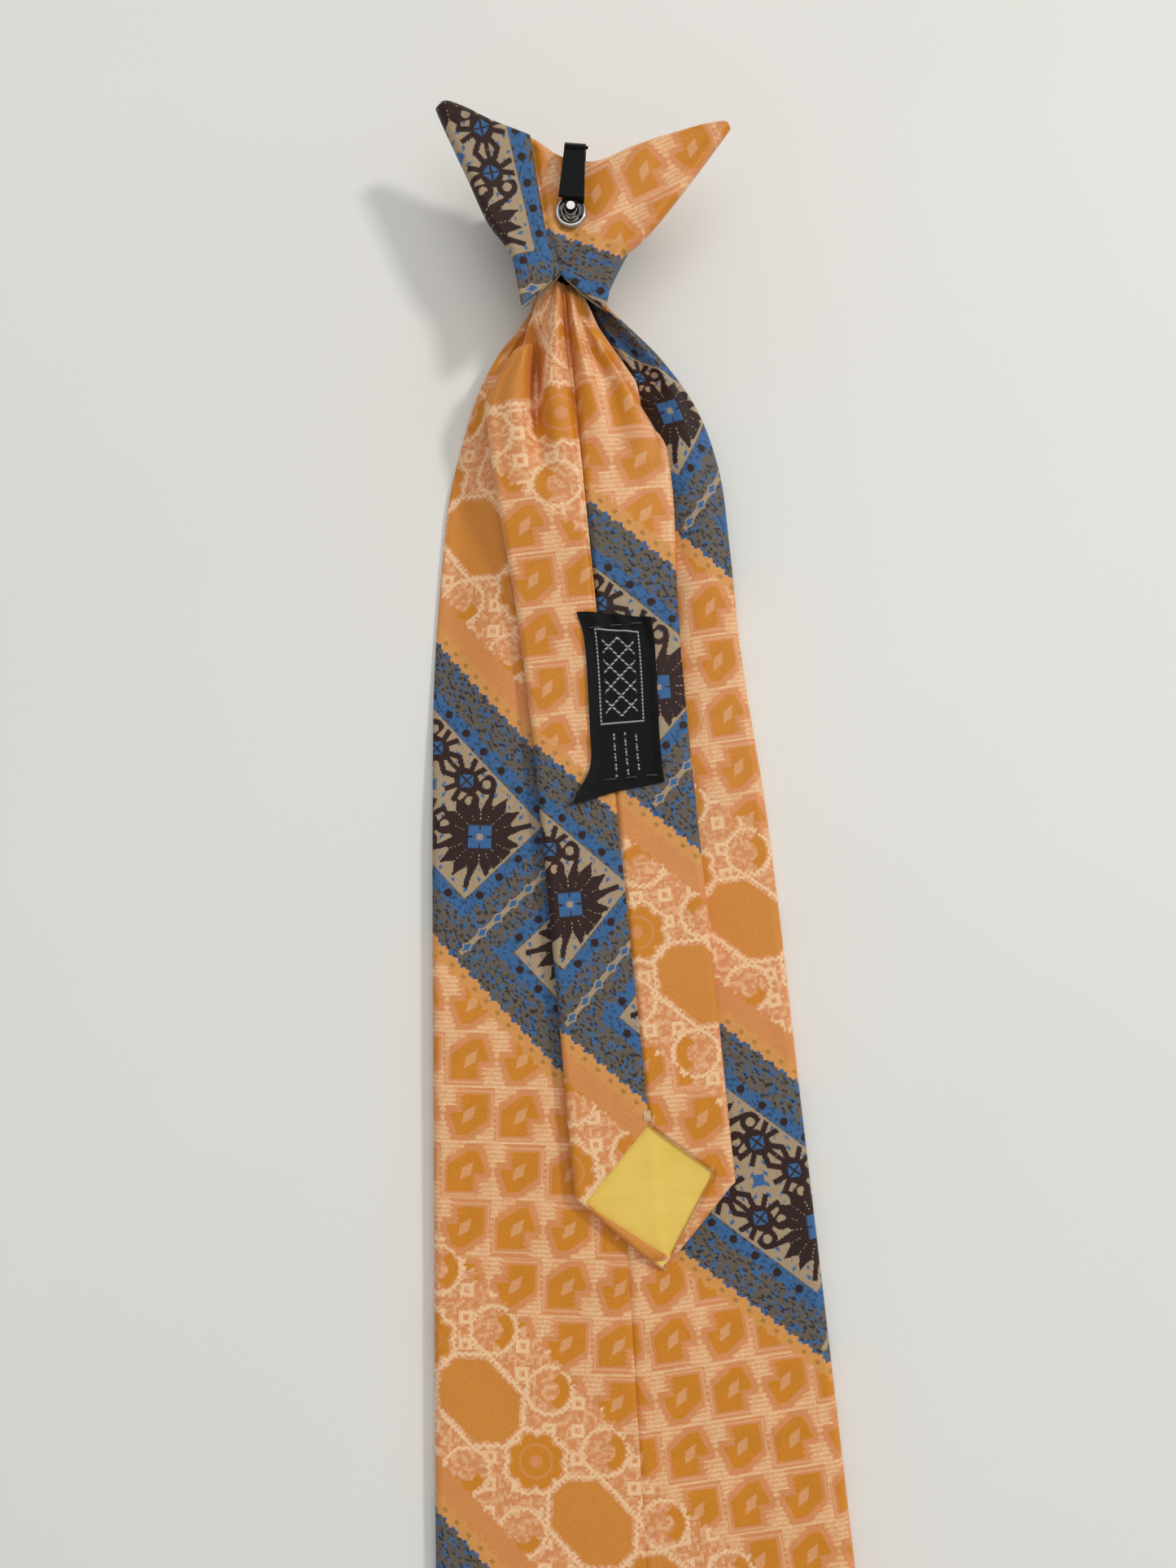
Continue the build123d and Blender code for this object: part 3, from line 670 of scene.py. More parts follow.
def make_label():
    material, shader = new_material("label_black")
    u, v = cloth_place()
    frame_x, frame_y = u + 0.4, v - 5.5
    frame_line = abs(box(frame_x, frame_y, 4.6, 10.0)) - 0.14
    lattice = least(
        abs(wrap(slant(frame_x, frame_y, math.radians(45)), 3.0)),
        abs(wrap(slant(frame_x, frame_y, math.radians(-45)), 3.0)),
    ) - 0.16
    lattice = most(lattice, box(frame_x, frame_y, 3.4, 8.6))
    dashes = most(
        abs(wrap(u, 2.4)) - 0.16, abs(wrap(v + u * 0.6, 2.2)) - 0.75, box(u, v + 11.3, 3.9, 4.6)
    )
    thread = inside(least(frame_line, lattice, dashes), 0.2)
    broken = ramp(wave(v, 0.8), 2.0, 1.6, clamp=True)
    weave = ramp(wave(v, 0.45), 0.5, 0.5)
    slub = noise(together(u * 0.3, v), 1.4, 3.0)
    black = mix(srgb(4, 4, 5), srgb(18, 19, 21), weave * 0.4 + slub - 0.4)
    colour = mix(black, srgb(196, 196, 190), thread * broken * 0.9)
    set_inputs(shader, Base_Color=colour, Roughness=ramp(slub, 0.3, 0.4),
               Sheen_Weight=0.02, Specular_IOR_Level=0.2)
    raise_surface(shader, weave * 0.5 + thread * 0.6 + slub * 0.4, 0.25, 0.8)
    return material


def mottled(name, dark, light, scale, detail, rough, depth, grain=0.5, strength=0.8, **more):
    """A material whose colour, roughness and relief all follow one noise.

    rough is (share of the noise, least roughness), and depth is in mm.
    """
    material, shader = new_material(name)
    marks = noise(object_place(), scale, detail, grain)
    roughness = ramp(marks, *rough)
    set_inputs(shader, Base_Color=mix(dark, light, marks), Roughness=roughness, **more)
    raise_surface(shader, marks, depth, strength)
    return material


def make_thread(name, colour):
    """Twisted thread, with painted shade between its strands: darker where its relief is low."""
    # The darker colour is painted shade for the hollows between the strands.
    dark = tuple(0.6 * c for c in colour)
    return mottled(
        name, dark, colour, scale=2500.0, detail=2.0, rough=(0.3, 0.4), depth=0.08, Sheen_Weight=0.3
    )


def make_enamel():
    material, shader = new_material("black_enamel")
    place = object_place()
    peel = noise(place, 900.0, 2.0)
    marks = noise(place, 260.0, 4.0, 0.7)
    set_inputs(
        shader, Base_Color=mix(srgb(2, 2, 2), srgb(9, 9, 10), marks),
        Roughness=ramp(marks, 0.1, 0.1), Specular_IOR_Level=0.1,
    )
    raise_surface(shader, peel, 0.01, 0.4)
    return material


def make_metal(name, dark, light, rough, scale):
    """Plated or plain metal, with faint marks."""
    return mottled(
        name, dark, light, scale, detail=4.0, rough=(rough, 0.6 * rough), depth=0.008,
        grain=0.65, strength=0.3, Metallic=1.0,
    )


def make_floor_material():
    material, shader = new_material("pale_table")
    place = object_place()
    mottle = noise(place, 9.0, 3.0)
    grain = noise(place, 900.0, 2.0)
    set_inputs(
        shader, Base_Color=mix(srgb(232, 231, 226), srgb(238, 237, 233), mottle),
        Roughness=ramp(grain, 0.2, 0.5),
    )
    raise_surface(shader, grain, 0.02, 0.3)
    return material


# ======== blades
def climb(y):
    """How far the blades have risen at a place along the tie."""
    return CLIMB * smooth(CLIMB_FOOT, CLIMB_TOP, y)


def folded_blade(
    name, y, left, right, inner, low, thick, relief, cloth, place, seam_drop, droop=None
):
    """Cloth folded round a blade: two back panels that meet, the sides and the face.

    left and right give the half widths from y, and inner(y, side) a panel's inner edge.
    relief(x, y) is added to the back, and cloth(x, y, panel) gives the cloth
    coordinates, with panel -1, 0 or 1 for left back, face and right back.
    """
    back = dense_ends(56, 1.8)
    turn = np.linspace(0, math.pi, 13)[1:-1]
    face = np.linspace(-1, 1, 44)
    rows, coords = [], []
    for yy in y:
        lo, t = float(low(yy)), float(thick(yy))
        points, flat = [], []
        for side, half in ((-1, float(left(yy))), (1, float(right(yy)))):
            tall = t * min(1.0, half / 4.0)
            radius = min(tall / 2, 0.9 * half)
            start = min(float(inner(yy, side)), half - radius - 0.02)
            x = start + (half - radius - start) * back
            near = np.exp(-(((x - start) / 0.7) ** 2))
            hem = (0.2 if side < 0 else 1.0) * seam_drop * near
            z = lo + tall - hem + relief(side * x, yy) * (1 - near * 0.6)
            turned_in = np.array([[side * (start + 0.2), max(z[0] - 0.6, lo + 0.7)]])
            panel = stack(side * x, z)
            edge_top = z[-1]
            edge_mid, edge_half = (edge_top + lo) / 2, (edge_top - lo) / 2
            edge = np.stack([
                side * (half - radius + radius * np.sin(turn)), edge_mid + edge_half * np.cos(turn)
            ], axis=-1)
            section = np.concatenate([turned_in, panel, edge])
            panels = np.full(len(section), side)
            panels[len(turned_in) + len(panel) + len(edge) // 2:] = 0
            if side == 1:
                section, panels = section[::-1], panels[::-1]
            points.append(section)
            flat.append(panels)
        reach_l, reach_r = points[0][-1, 0], points[1][0, 0]
        middle = (reach_l + reach_r) / 2 + (reach_r - reach_l) / 2 * face[1:-1]
        floor = stack(middle, np.full(len(middle), lo))
        section = np.concatenate([points[0], floor, points[1]])
        panels = np.concatenate([flat[0], np.zeros(len(floor)), flat[1]])
        if droop:
            section[:, 1] -= droop(section[:, 0], yy)
        rows.append(stack(section[:, 0], np.full(len(section), yy), section[:, 1]))
        coords.append(cloth(section[:, 0], yy, panels))
    return settle(grid_mesh(name, [(place(np.array(rows)), np.array(coords))]), tie_cloth, CLOTH)


def fold_over(x, y, side):
    """Where a point of the front blade's back lies in the flat cloth: mirrored in its edge."""
    edge_x, edge_y = FRONT_UPPER
    direction = np.array([-side * front_slope, 1.0])
    direction /= np.linalg.norm(direction)
    dx = x - side * edge_x
    dy = y - edge_y
    along = dx * direction[0] + dy * direction[1]
    return side * edge_x + 2 * along * direction[0] - dx, edge_y + 2 * along * direction[1] - dy


front_slope = (FRONT_CORNER[0] - FRONT_UPPER[0]) / (FRONT_UPPER[1] - FRONT_CORNER[1])
front_left = curve(
    (-204.5, 50.5), (-52, 44.1), (32, 40.3), (100, 37.1), (132, 35.2), (157, 32.2), (174, 29.4),
    (188, 24.9), (199, 19.6), (205, 15.8), (210, 11.6), (214, 9.0), (217, 8.0),
)
front_right = curve(
    (-204.5, 50.5), (-52, 43.9), (32, 40.0), (100, 36.6), (132, 33.6), (157, 32.3), (174, 30.8),
    (188, 26.4), (199, 19.2), (205, 13.8), (210, 9.6), (214, 7.6), (217, 7.0),
)
front_lining_top = FRONT_CORNER[1] + FRONT_CORNER[0] - FRONT_HEM


def pointed(side_curve, tip, corner):
    """Half width with the point's slanted edges below the corners."""
    def at(y):
        return np.where(y < corner, np.maximum(y - tip, 0.05), side_curve(y))
    return at


def opening(left, right):
    """Inner edges of the hem, which leave a square of lining open.

    left and right are lists of (y, x) from the tip to the seam.
    """
    def at(y, side):
        line = left if side < 0 else right
        return side * float(np.interp(y, *zip(*line))) + (0.1 if side > 0 else -0.25)
    return at


front_open = FRONT_CORNER[0] - FRONT_HEM
front_hem_foot = (FRONT_TIP + FRONT_HEM, 0)
front_hem_top = (FRONT_CORNER[1] + front_open, 0)
front_opening = opening(*(
    [front_hem_foot, (FRONT_CORNER[1], side * front_open), front_hem_top] for side in (-1, 1)
))


def front_flat_half(y):
    return FRONT_UPPER[0] - (y - FRONT_UPPER[1]) * front_slope


FRONT_PLACE = ((0.0, 0.0), (-102.4, 50.6))
TAIL_PLACE = ((0.0, 0.0), (-73.9, 89.0))


def front_cloth_coords(x, y, panels):
    flat_half = front_flat_half(y)
    actual = np.where(x < 0, front_left(y), front_right(y)) if y > FRONT_CORNER[1] else flat_half
    flat_x = x * flat_half / actual
    out_x, out_y = flat_x.copy(), np.full(len(x), float(y))
    for side in (-1, 1):
        mine = panels == side
        out_x[mine], out_y[mine] = fold_over(flat_x[mine], y, side)
    out_y[panels == 1] += 5.0 * smooth(186, 198, y)  # the right side is drawn up at the knot
    return cloth_from(stack(-out_x, out_y), 0.0, *FRONT_PLACE)


def front_relief(x, y):
    """The blade's back beside the tail: high and pleated on the right, sloping on the left."""
    gather = float(smooth(112, 190, y))
    throat = float(smooth(172, 204, y))
    half = np.where(x < 0, front_left(y), front_right(y))
    part = abs(x) / half
    right = 4.6 * smooth(0.48, 0.74, part) * (1 - 0.5 * smooth(0.8, 1.0, part))
    left = 0.5 * smooth(0.4, 0.5, part) - 3.3 * smooth(0.5, 0.95, part)
    pleats = 1.3 * throat * np.cos(2 * math.pi * (part * 3.4 + 0.1)) * smooth(0.35, 0.6, part)
    trough = -0.7 * gather * (1 - smooth(0.35, 0.6, part))
    soft = 0.10 * bumps(x, y, 3, 38.0)
    left = left * float(smooth(92, 142, y))
    return np.where(x < 0, left, gather * right) + pleats + trough + soft * smooth(-250, -200, y)


front_y = np.concatenate([
    FRONT_TIP + np.array([0.3, 0.8, 1.6, 2.8, 4.4, 6.4]), np.linspace(-246.5, -205, 34),
    np.linspace(-203.8, -160, 34), np.linspace(-157, 110, 90), np.linspace(112, 217, 96),
])


def front_low(y):
    """The blade's underside: it climbs to the knot, and its very tip is off the table."""
    tip_lift = 0.6 * smooth(FRONT_TIP + 3, FRONT_TIP, y)
    return climb(y) * (1 - 0.35 * smooth(196, 212, y)) + 0.02 + tip_lift


def front_droop(x, y):
    """How far the blade's left side sinks back towards the table below the knot."""
    return 0.95 * climb(y) * smooth(197, 182, y) * smooth(0.35, 0.95, -x / front_left(y))


def as_it_is(points):
    return points


def in_tail(points):
    return turned(points, TAIL_PIVOT, TAIL_TURN)


tail_corner = -TAIL_LENGTH + TAIL_HALF
tail_left = curve(
    (tail_corner, 17.2), (-130, 16.6), (-80, 16.7), (-60, 17.4), (-38, 18.9), (-24, 19.5), (-15, 18.8),
    (-8, 14.0), (-3, 10.2), (0, 8.6), (3, 7.0), (8, 4.6),
)
tail_right = curve(
    (tail_corner, 17.4), (-130, 17.6), (-80, 17.8), (-60, 18.4), (-38, 19.6), (-24, 18.7), (-15, 14.8),
    (-8, 10.0), (-3, 7.3), (0, 6.2), (3, 5.0), (8, 3.4),
)


tail_opening = opening(
    [(-206, 0), (-203.2, 1.6), (-189.9, -15.4), (-174.8, -0.2), (-172, 0)],
    [(-206, 0), (-203.2, 1.6), (-186.3, 12.9), (-174.8, -0.2), (-172, 0)],
)


def tail_thick(y):
    return TAIL_THICK + 3.4 * smooth(-34, -2, y) + 0.8 * smooth(-4, 3, y)


def tail_low(y):
    return TAIL_LOW + climb(y + TAIL_PIVOT[1])


tail_groove = curve((-40, -9.0), (-12, -8.0), (0, -6.4), (8, -4.2))
tail_crease = curve((-30, 17.5), (-24, 15.6), (-14, 10.2), (-6, 5.4), (2, 2.6), (8, 1.4))


def tail_relief(x, y):
    """A belly below the knot, with one deep groove and a side that turns down."""
    y = float(y)
    belly = 1.6 * float(smooth(-120, -30, y)) * (1 - (x / 20) ** 2)
    deep = float(smooth(-38, -10, y) * (1 - 0.7 * smooth(-1, 5, y)))
    groove = -6.4 * deep * np.exp(-(((x - tail_groove(y)) / (1.3 + 1.6 * (1 - deep))) ** 2))
    turning = float(smooth(-34, -20, y) * (1 - smooth(-1, 4, y)))
    fall = -4.0 * turning * smooth(0.0, 1.7, x - tail_crease(y))
    seam = -2.8 * deep * np.exp(-((x / 0.75) ** 2))
    half = np.where(x < 0, tail_left(y), tail_right(y))
    ridges = -0.9 * deep * np.cos(2 * math.pi * 2.2 * x / half)
    return belly + groove + fall + seam + ridges + 0.12 * bumps(x, y, 8, 30.0)


def tail_cloth_coords(x, y, panels):
    actual = np.where(x < 0, tail_left(y), tail_right(y)) if y > tail_corner else TAIL_HALF
    flat_x = x * TAIL_HALF / actual
    out_x = np.where(panels == 0, flat_x, np.where(panels < 0, -2.0, 2.0) * TAIL_HALF - flat_x)
    points = stack(-out_x, np.full(len(x), float(y)))
    return cloth_from(points, 0.0, *TAIL_PLACE, flip=True)


tail_y = np.concatenate([
    -TAIL_LENGTH + np.array([0.3, 0.8, 1.5, 2.4]), np.linspace(-202.8, tail_corner, 18),
    np.linspace(tail_corner + 0.8, -171.5, 18), np.linspace(-170, -62, 60), np.linspace(-61, 7, 96),
])


# ======== knot
def in_knot(points):
    return turned(points, KNOT_ORIGIN, KNOT_TURN)


def four_sided(bottom, top, left, right, rows, columns):
    """Points of a patch between four lines. Left and right run from bottom to top."""
    a = dense_ends(columns, 2.2)[None, :, None]
    b = dense_ends(rows, 2.2)[:, None, None]

    def on(points, share):
        line = line_through(points, 400)
        places = share.ravel() * (len(line) - 1)
        steps = np.arange(len(line))
        return stack(*(np.interp(places, steps, column) for column in line.T))

    low, high = on(bottom, a)[None], on(top, a)[None]
    west, east = on(left, b)[:, None], on(right, b)[:, None]
    corners = (
        (1 - a) * (1 - b) * low[:, :1] + a * (1 - b) * low[:, -1:]
        + (1 - a) * b * high[:, :1] + a * b * high[:, -1:]
    )
    return (1 - b) * low + b * high + (1 - a) * west + a * east - corners


def edge_distance(grid):
    """Distance of each point of a patch from its outline."""
    rim = np.concatenate([grid[0], grid[-1], grid[:, 0], grid[:, -1]])
    flat = grid.reshape(-1, 2)
    far = np.full(len(flat), 1e9)
    for start in range(0, len(rim), 40):
        part = rim[start:start + 40]
        far = np.minimum(far, np.linalg.norm(flat[:, None] - part[None], axis=2).min(axis=1))
    return far.reshape(grid.shape[:2])


def pillow(grid, top, thick, radius, cloth, relief):
    """A closed folded pad of cloth over a patch, rounded at its outline."""
    far = edge_distance(grid)
    far[0] = far[-1] = 0
    far[:, 0] = far[:, -1] = 0
    x, y = grid[..., 0], grid[..., 1]
    thick = thick(y)
    middle = top - thick / 2
    part = np.clip(far / np.minimum(radius, thick), 0, 1)
    swell = np.sqrt(1 - (1 - part) ** 2)
    over = stack(x, y, middle + thick / 2 * swell + relief(x, y) * part)
    under = stack(x, y, middle - thick / 2 * swell)
    return [(in_knot(over[:, ::-1]), cloth(grid[:, ::-1])), (in_knot(under), cloth(grid))]


def wrap_thick(y):
    """The wraps are a folded edge at the throat and a full pad higher up."""
    return THROAT_THICK + (WING_THICK - THROAT_THICK) * smooth(-3, 9, y)


left_patch = four_sided(
    bottom=[(-9.4, -6.2), (-6.3, -3.4), (-3.6, -0.8), (-1.5, 1.9)],
    top=[(-31.3, 36.4), (-29.6, 38.1), (-26.0, 37.4), (-19.8, 34.9), (-10.4, 32.0)],
    left=[(-9.4, -6.2), (-13.1, 5.9), (-18.0, 11.9), (-23.1, 21.2), (-29.9, 33.6), (-31.3, 36.4)],
    right=[(-1.5, 1.9), (-3.2, 5.4), (-5.2, 10.4), (-7.8, 20.8), (-10.4, 32.0)],
    rows=90, columns=50,
)
right_patch = four_sided(
    bottom=[(-4.2, 3.4), (-1.5, 1.7), (3.4, -2.0), (8.5, -5.2)],
    top=[(-14.0, 33.2), (-10.4, 32.0), (-3.4, 28.2), (3.7, 27.7), (12.2, 31.8), (20.7, 34.8),
         (29.4, 37.1), (31.6, 37.2), (32.4, 35.9)],
    left=[(-4.2, 3.4), (-6.2, 10.4), (-9.6, 20.8), (-14.0, 33.2)],
    right=[(8.5, -5.2), (10.9, 6.2), (15.4, 10.7), (21.8, 19.3), (30.6, 32.9), (32.4, 35.9)],
    rows=90, columns=84,
)

WRAP_TURN = math.radians(28.0)


def left_wrap_cloth(points):
    return cloth_from(points, -WRAP_TURN, (-13.6, 24.0), (11.0, 4.5))


def right_wrap_cloth(points):
    return cloth_from(points, WRAP_TURN, (4.6, 8.2), (-21.9, 14.0), flip=True)


def left_relief(x, y):
    return 0.35 * bumps(x, y, 21, 16.0) + 0.9 * smooth(30, 38, y)


def wing_lift(x):
    """The right wing rises a little towards its point."""
    return 2.2 * smooth(9, 33, x)


overlap = curve((-1.5, -1.0), (1.9, -1.5), (5.4, -3.2), (10.4, -5.2), (20.8, -7.8), (32.0, -10.4))


def right_relief(x, y):
    ray = np.arctan2(y + 12, x + 4)
    creases = 0.3 * np.sin(ray * 17) * smooth(-2, 10, y)
    dip = -0.9 * smooth(30.5, 27, y) * np.exp(-((x / 7) ** 2))
    under_left = -0.9 * np.exp(-(((x - overlap(y)) / 0.9) ** 2)) * smooth(0, 5, y)
    return creases + dip + under_left + 0.2 * bumps(x, y, 22, 14.0)


def knot_front():
    """The knot's face: a rounded, tapering tube that opens at the throat."""
    open_end, shoulder, bulge, straight = -7.6, 24.5, 3.2, 60
    stations = np.concatenate([
        np.linspace(open_end, shoulder, straight), shoulder + bulge * np.sin(np.linspace(0.1, 1.5, 14))
    ])
    half = curve((-8, 6.4), (2, 8.0), (8, 9.8), (19, 14.2), (27.6, 16.4))
    low = curve((-8, 2.3), (0, 0.9), (8, 0.3), (22, 0.3), (27.6, 1.2))
    angle = np.linspace(0, 2 * math.pi, 121)
    rows, coords = [], []
    for k, v in enumerate(stations):
        close = 1.0 if k < straight else math.cos(math.asin(min(1.0, (v - shoulder) / bulge)))
        high = 17.6 - 0.6 * smooth(0, -8, v)
        lo = float(low(v))
        middle, tall = (high + lo) / 2, (high - lo) / 2
        c, s = np.cos(angle), np.sin(angle)
        power = 0.55
        x = float(half(v)) * np.sign(s) * abs(s) ** power
        z = tall * np.sign(c) * abs(c) ** power
        inset = 1 - 0.12 * (1 - close)
        scale = close ** 0.5 if close > 0.02 else 0.1
        x, z = x * inset * (0.35 + 0.65 * scale), z * (0.25 + 0.75 * scale)
        back = smooth(-0.2, 0.8, c)
        sag = (5.6 * smooth(-0.95, -0.4, c) + 5.4 * back) * smooth(8.0, -8.0, v)
        face = smooth(0.2, 0.9, -c)
        dimple = 0.9 * face * np.exp(-((x / 3.0) ** 2) - (((v + 5) / 6.0) ** 2))
        crease = 0.22 * face * np.sin(x * 0.55 + v * 0.35) * smooth(-8, 4, v)
        rows.append(stack(x, np.full(len(x), v) + sag, middle + z + dimple + crease))
        arc = np.cumsum(np.concatenate([[0], np.hypot(np.diff(x), np.diff(z))]))
        arc -= arc[len(arc) // 2]
        coords.append(stack(-arc, np.full(len(x), v)))
    # The closed end is a sheet of its own, in the colour of the plain strip at its rim.
    rim, rim_place, swell = rows[-1], 27.7, 0.5
    centre = rim.mean(axis=0)
    shares = (1.0, 0.8, 0.6, 0.4, 0.2, 0.01)
    end = np.array([centre + (rim - centre) * part + (0, swell * (1 - part), 0) for part in shares])
    end_flat = stack(end[..., 0], rim_place + 0.3 * (end[..., 2] - centre[2]))
    sheets = []
    for points, flat in ((np.array(rows), np.array(coords)), (end, end_flat)):
        cloth = cloth_from(flat, math.radians(42), (0, 2), (0.0, 13.0))
        sheets.append((in_knot(points)[:, ::-1], cloth[:, ::-1]))
    return settle(grid_mesh("knot_face", sheets, weld=True), tie_cloth, KNOT_CLOTH)


# ======== making the pieces
tie_cloth = make_tie_cloth()
lining_cloth = make_lining()
label_cloth = make_label()
peach_thread = make_thread("peach_thread", srgb(246, 205, 158))
black_thread = make_thread("black_thread", srgb(44, 44, 48))

front_halves = [pointed(side, FRONT_TIP, FRONT_CORNER[1]) for side in (front_left, front_right)]
front_cloth = folded_blade(
    "front_cloth", front_y, *front_halves,
    front_opening, front_low, lambda y: FRONT_THICK, front_relief, front_cloth_coords, as_it_is,
    seam_drop=0.45, droop=front_droop,
)
tail_halves = [pointed(side, -TAIL_LENGTH, tail_corner) for side in (tail_left, tail_right)]
tail_cloth = folded_blade(
    "tail_cloth", tail_y, *tail_halves,
    tail_opening, tail_low, tail_thick, tail_relief, tail_cloth_coords, in_tail, seam_drop=0.7,
)


def lining(name, corner_half, corner_y, hem, height, place, seed):
    """A square of lining on its corner, with soft creases."""
    half = corner_half - hem + LINING_UNDER
    part = np.linspace(-1, 1, 61)
    a, b = np.meshgrid(part, part)
    x = half * (a - b) / 2
    y = corner_y + half * (a + b) / 2
    fold = np.exp(-((x / 1.2) ** 2)) * 0.12 + np.exp(-(((y - corner_y) / 1.4) ** 2)) * 0.1
    z = height + 0.14 * bumps(x, y, seed, half) + fold
    points = stack(x, y, z)
    return settle(grid_mesh(name, [(place(points), points[..., :2])]), lining_cloth, LINING_CLOTH)


front_lining = lining(
    "front_lining", *FRONT_CORNER, FRONT_HEM, FRONT_LINING_HEIGHT, place=as_it_is, seed=5
)
tail_lining = lining(
    "tail_lining", TAIL_HALF, tail_corner, TAIL_HEM, TAIL_LINING_HEIGHT, place=in_tail, seed=6
)

left_sheets = pillow(
    left_patch, top=KNOT_BACK + LEFT_OVER, thick=wrap_thick, radius=1.7,
    cloth=left_wrap_cloth, relief=left_relief,
)
right_sheets = pillow(
    right_patch, top=KNOT_BACK + wing_lift(right_patch[..., 0]), thick=wrap_thick, radius=2.0,
    cloth=right_wrap_cloth, relief=right_relief,
)
knot_left_wrap = settle(grid_mesh("knot_left_wrap", left_sheets, weld=True), tie_cloth)
knot_right_wrap = settle(grid_mesh("knot_right_wrap", right_sheets, weld=True), tie_cloth)
knot_face = knot_front()


def form_plate():
    """The stiff plate that the wraps are folded over."""
    sheets = []
    for patch in (left_patch, right_patch):
        middle = patch.reshape(-1, 2).mean(axis=0)
        inner = middle + (patch[PLATE_FIRST_ROW:] - middle) * PLATE_SHARE
        sheets += pillow(
            inner, top=KNOT_BACK - PLATE_INSIDE + wing_lift(inner[..., 0]),
            thick=lambda y: PLATE_THICK + 0 * y, radius=0.4,
            cloth=lambda grid: grid, relief=lambda x, y: 0 * x,
        )
    plastic = mottled(
        "form_plastic", srgb(222, 222, 214), srgb(240, 240, 234),
        scale=300.0, detail=5.0, rough=(0.3, 0.55), depth=0.03, grain=0.65,
    )
    return settle(grid_mesh("knot_form_plate", sheets, weld=True), plastic)


knot_form_piece = form_plate()

# Label: a woven slip that lies loose on the tail, with its lower left corner turned out.
LABEL_CENTRE = (4.0, -84.0)
LABEL_HALF = (7.5, 19.0)


def tail_back(x, y):
    """Height of the tail's back."""
    return tail_low(y) + tail_thick(y) + tail_relief(x, y)


def make_label_piece():
    a, b = np.meshgrid(np.linspace(-1, 1, 49), np.linspace(-1, 1, 101))
    x = LABEL_CENTRE[0] + LABEL_HALF[0] * a + 0.5 * np.sin(b * 2.2)
    y = LABEL_CENTRE[1] + LABEL_HALF[1] * b - 1.4 * a * (0.5 + 0.5 * b) + 0.7 * a * (0.5 - 0.5 * b)
    corner = np.exp(-(((a + 1) / 0.42) ** 2) - (((b + 1) / 0.22) ** 2))
    x = x - 5.0 * corner
    y = y - 1.5 * corner
    ear = np.exp(-(((a + 1) / 0.3) ** 2) - (((b - 1) / 0.16) ** 2))
    x = x - 1.0 * ear
    base = np.array([tail_relief(xx, yy.mean()) for xx, yy in zip(x, y)])
    base = base + tail_low(y) + tail_thick(y)
    lift = 0.35 + 0.25 * bumps(x, y, 11, 9.0)
    lift = lift + 0.5 * smooth(0.7, 1.0, abs(a)) + 0.3 * smooth(0.85, 1, abs(b))
    ripple = 0.45 * np.sin(x * 1.1 + y * 0.35) * smooth(0.35, 0.9, b)
    z = base + np.maximum(lift + ripple, 0.3) + 1.1 * corner
    points = stack(x, y, z)
    coords = stack(LABEL_HALF[0] * a, LABEL_HALF[1] * b)
    sheet = (in_tail(points)[:, ::-1], coords[:, ::-1])
    return settle(grid_mesh("label_cloth", [sheet]), label_cloth, LABEL_CLOTH)


label_piece = make_label_piece()


def strand(name, lines, radius, material):
    """Threads: short round bars with tapered ends along lists of points, in mm."""
    sheets = []
    ring = np.linspace(0, 2 * math.pi, 9)
    for line in lines:
        line = line_through(line, 9)
        forward = np.gradient(line, axis=0)
        forward /= np.linalg.norm(forward, axis=1)[:, None]
        side = np.cross(forward, (0, 0, 1.0))
        side /= np.linalg.norm(side, axis=1)[:, None]
        up = np.cross(side, forward)
        taper = np.sqrt(np.clip(1 - np.linspace(-1, 1, 9) ** 6, 0.02, 1))
        points = line[:, None] + radius * taper[:, None, None] * (
            side[:, None] * np.cos(ring)[None, :, None] + up[:, None] * np.sin(ring)[None, :, None]
        )
        coords = np.stack(np.meshgrid(ring, np.arange(9)), axis=-1)
        sheets.append((points[:, ::-1], coords))
    return settle(grid_mesh(name, sheets, weld=True), material, angle=80)


def seam_stitches(name, start, end, count, reach, height, place):
    """Slip stitches that show as short bars where the seam's threads cross."""
    lines = []
    for y in np.linspace(start, end, count):
        z = height(0.0, y)
        stitch = [(0.0, y - reach, z - 0.5), (0.02, y, z), (0.0, y + reach, z - 0.5)]
        lines.append(place(np.array(stitch)))
    return strand(name, lines, THREAD, peach_thread)


def bar_tack(name, y, reach, height, place, across):
    """A short bar of close stitches that locks the seam's end."""
    lines = []
    for k in range(5):
        shift = (k - 2) * 0.3
        line = np.array([(-reach, shift, -0.15), (0, shift, 0.15), (reach, shift, -0.15)])
        if not across:
            line = line[:, (1, 0, 2)]
        lines.append(place(line + (0, y, height)))
    return strand(name, lines, TACK_THREAD, peach_thread)


def front_seam_height(x, y):
    return front_low(y) + FRONT_THICK - STITCH_SUNK + float(front_relief(np.array([x]), y)[0])


def tail_seam_height(x, y):
    return float(tail_low(y) + tail_thick(y) - STITCH_SUNK + tail_relief(np.array([x]), y)[0])


front_stitches = seam_stitches(
    "front_seam_thread", start=-155, end=112, count=24, reach=3.0,
    height=front_seam_height, place=as_it_is,
)
tail_stitches = seam_stitches(
    "tail_seam_thread", start=-168, end=-92, count=9, reach=2.4,
    height=tail_seam_height, place=in_tail,
)
front_tack = bar_tack(
    "front_tack_thread", y=front_lining_top + 1.6, reach=3.0,
    height=FRONT_THICK + 0.1, place=as_it_is, across=True,
)
tail_tack = bar_tack(
    "tail_tack_thread", y=tail_corner + TAIL_HALF - TAIL_HEM + 1.8, reach=1.3,
    height=TAIL_LOW + TAIL_THICK + 0.1, place=in_tail, across=False,
)


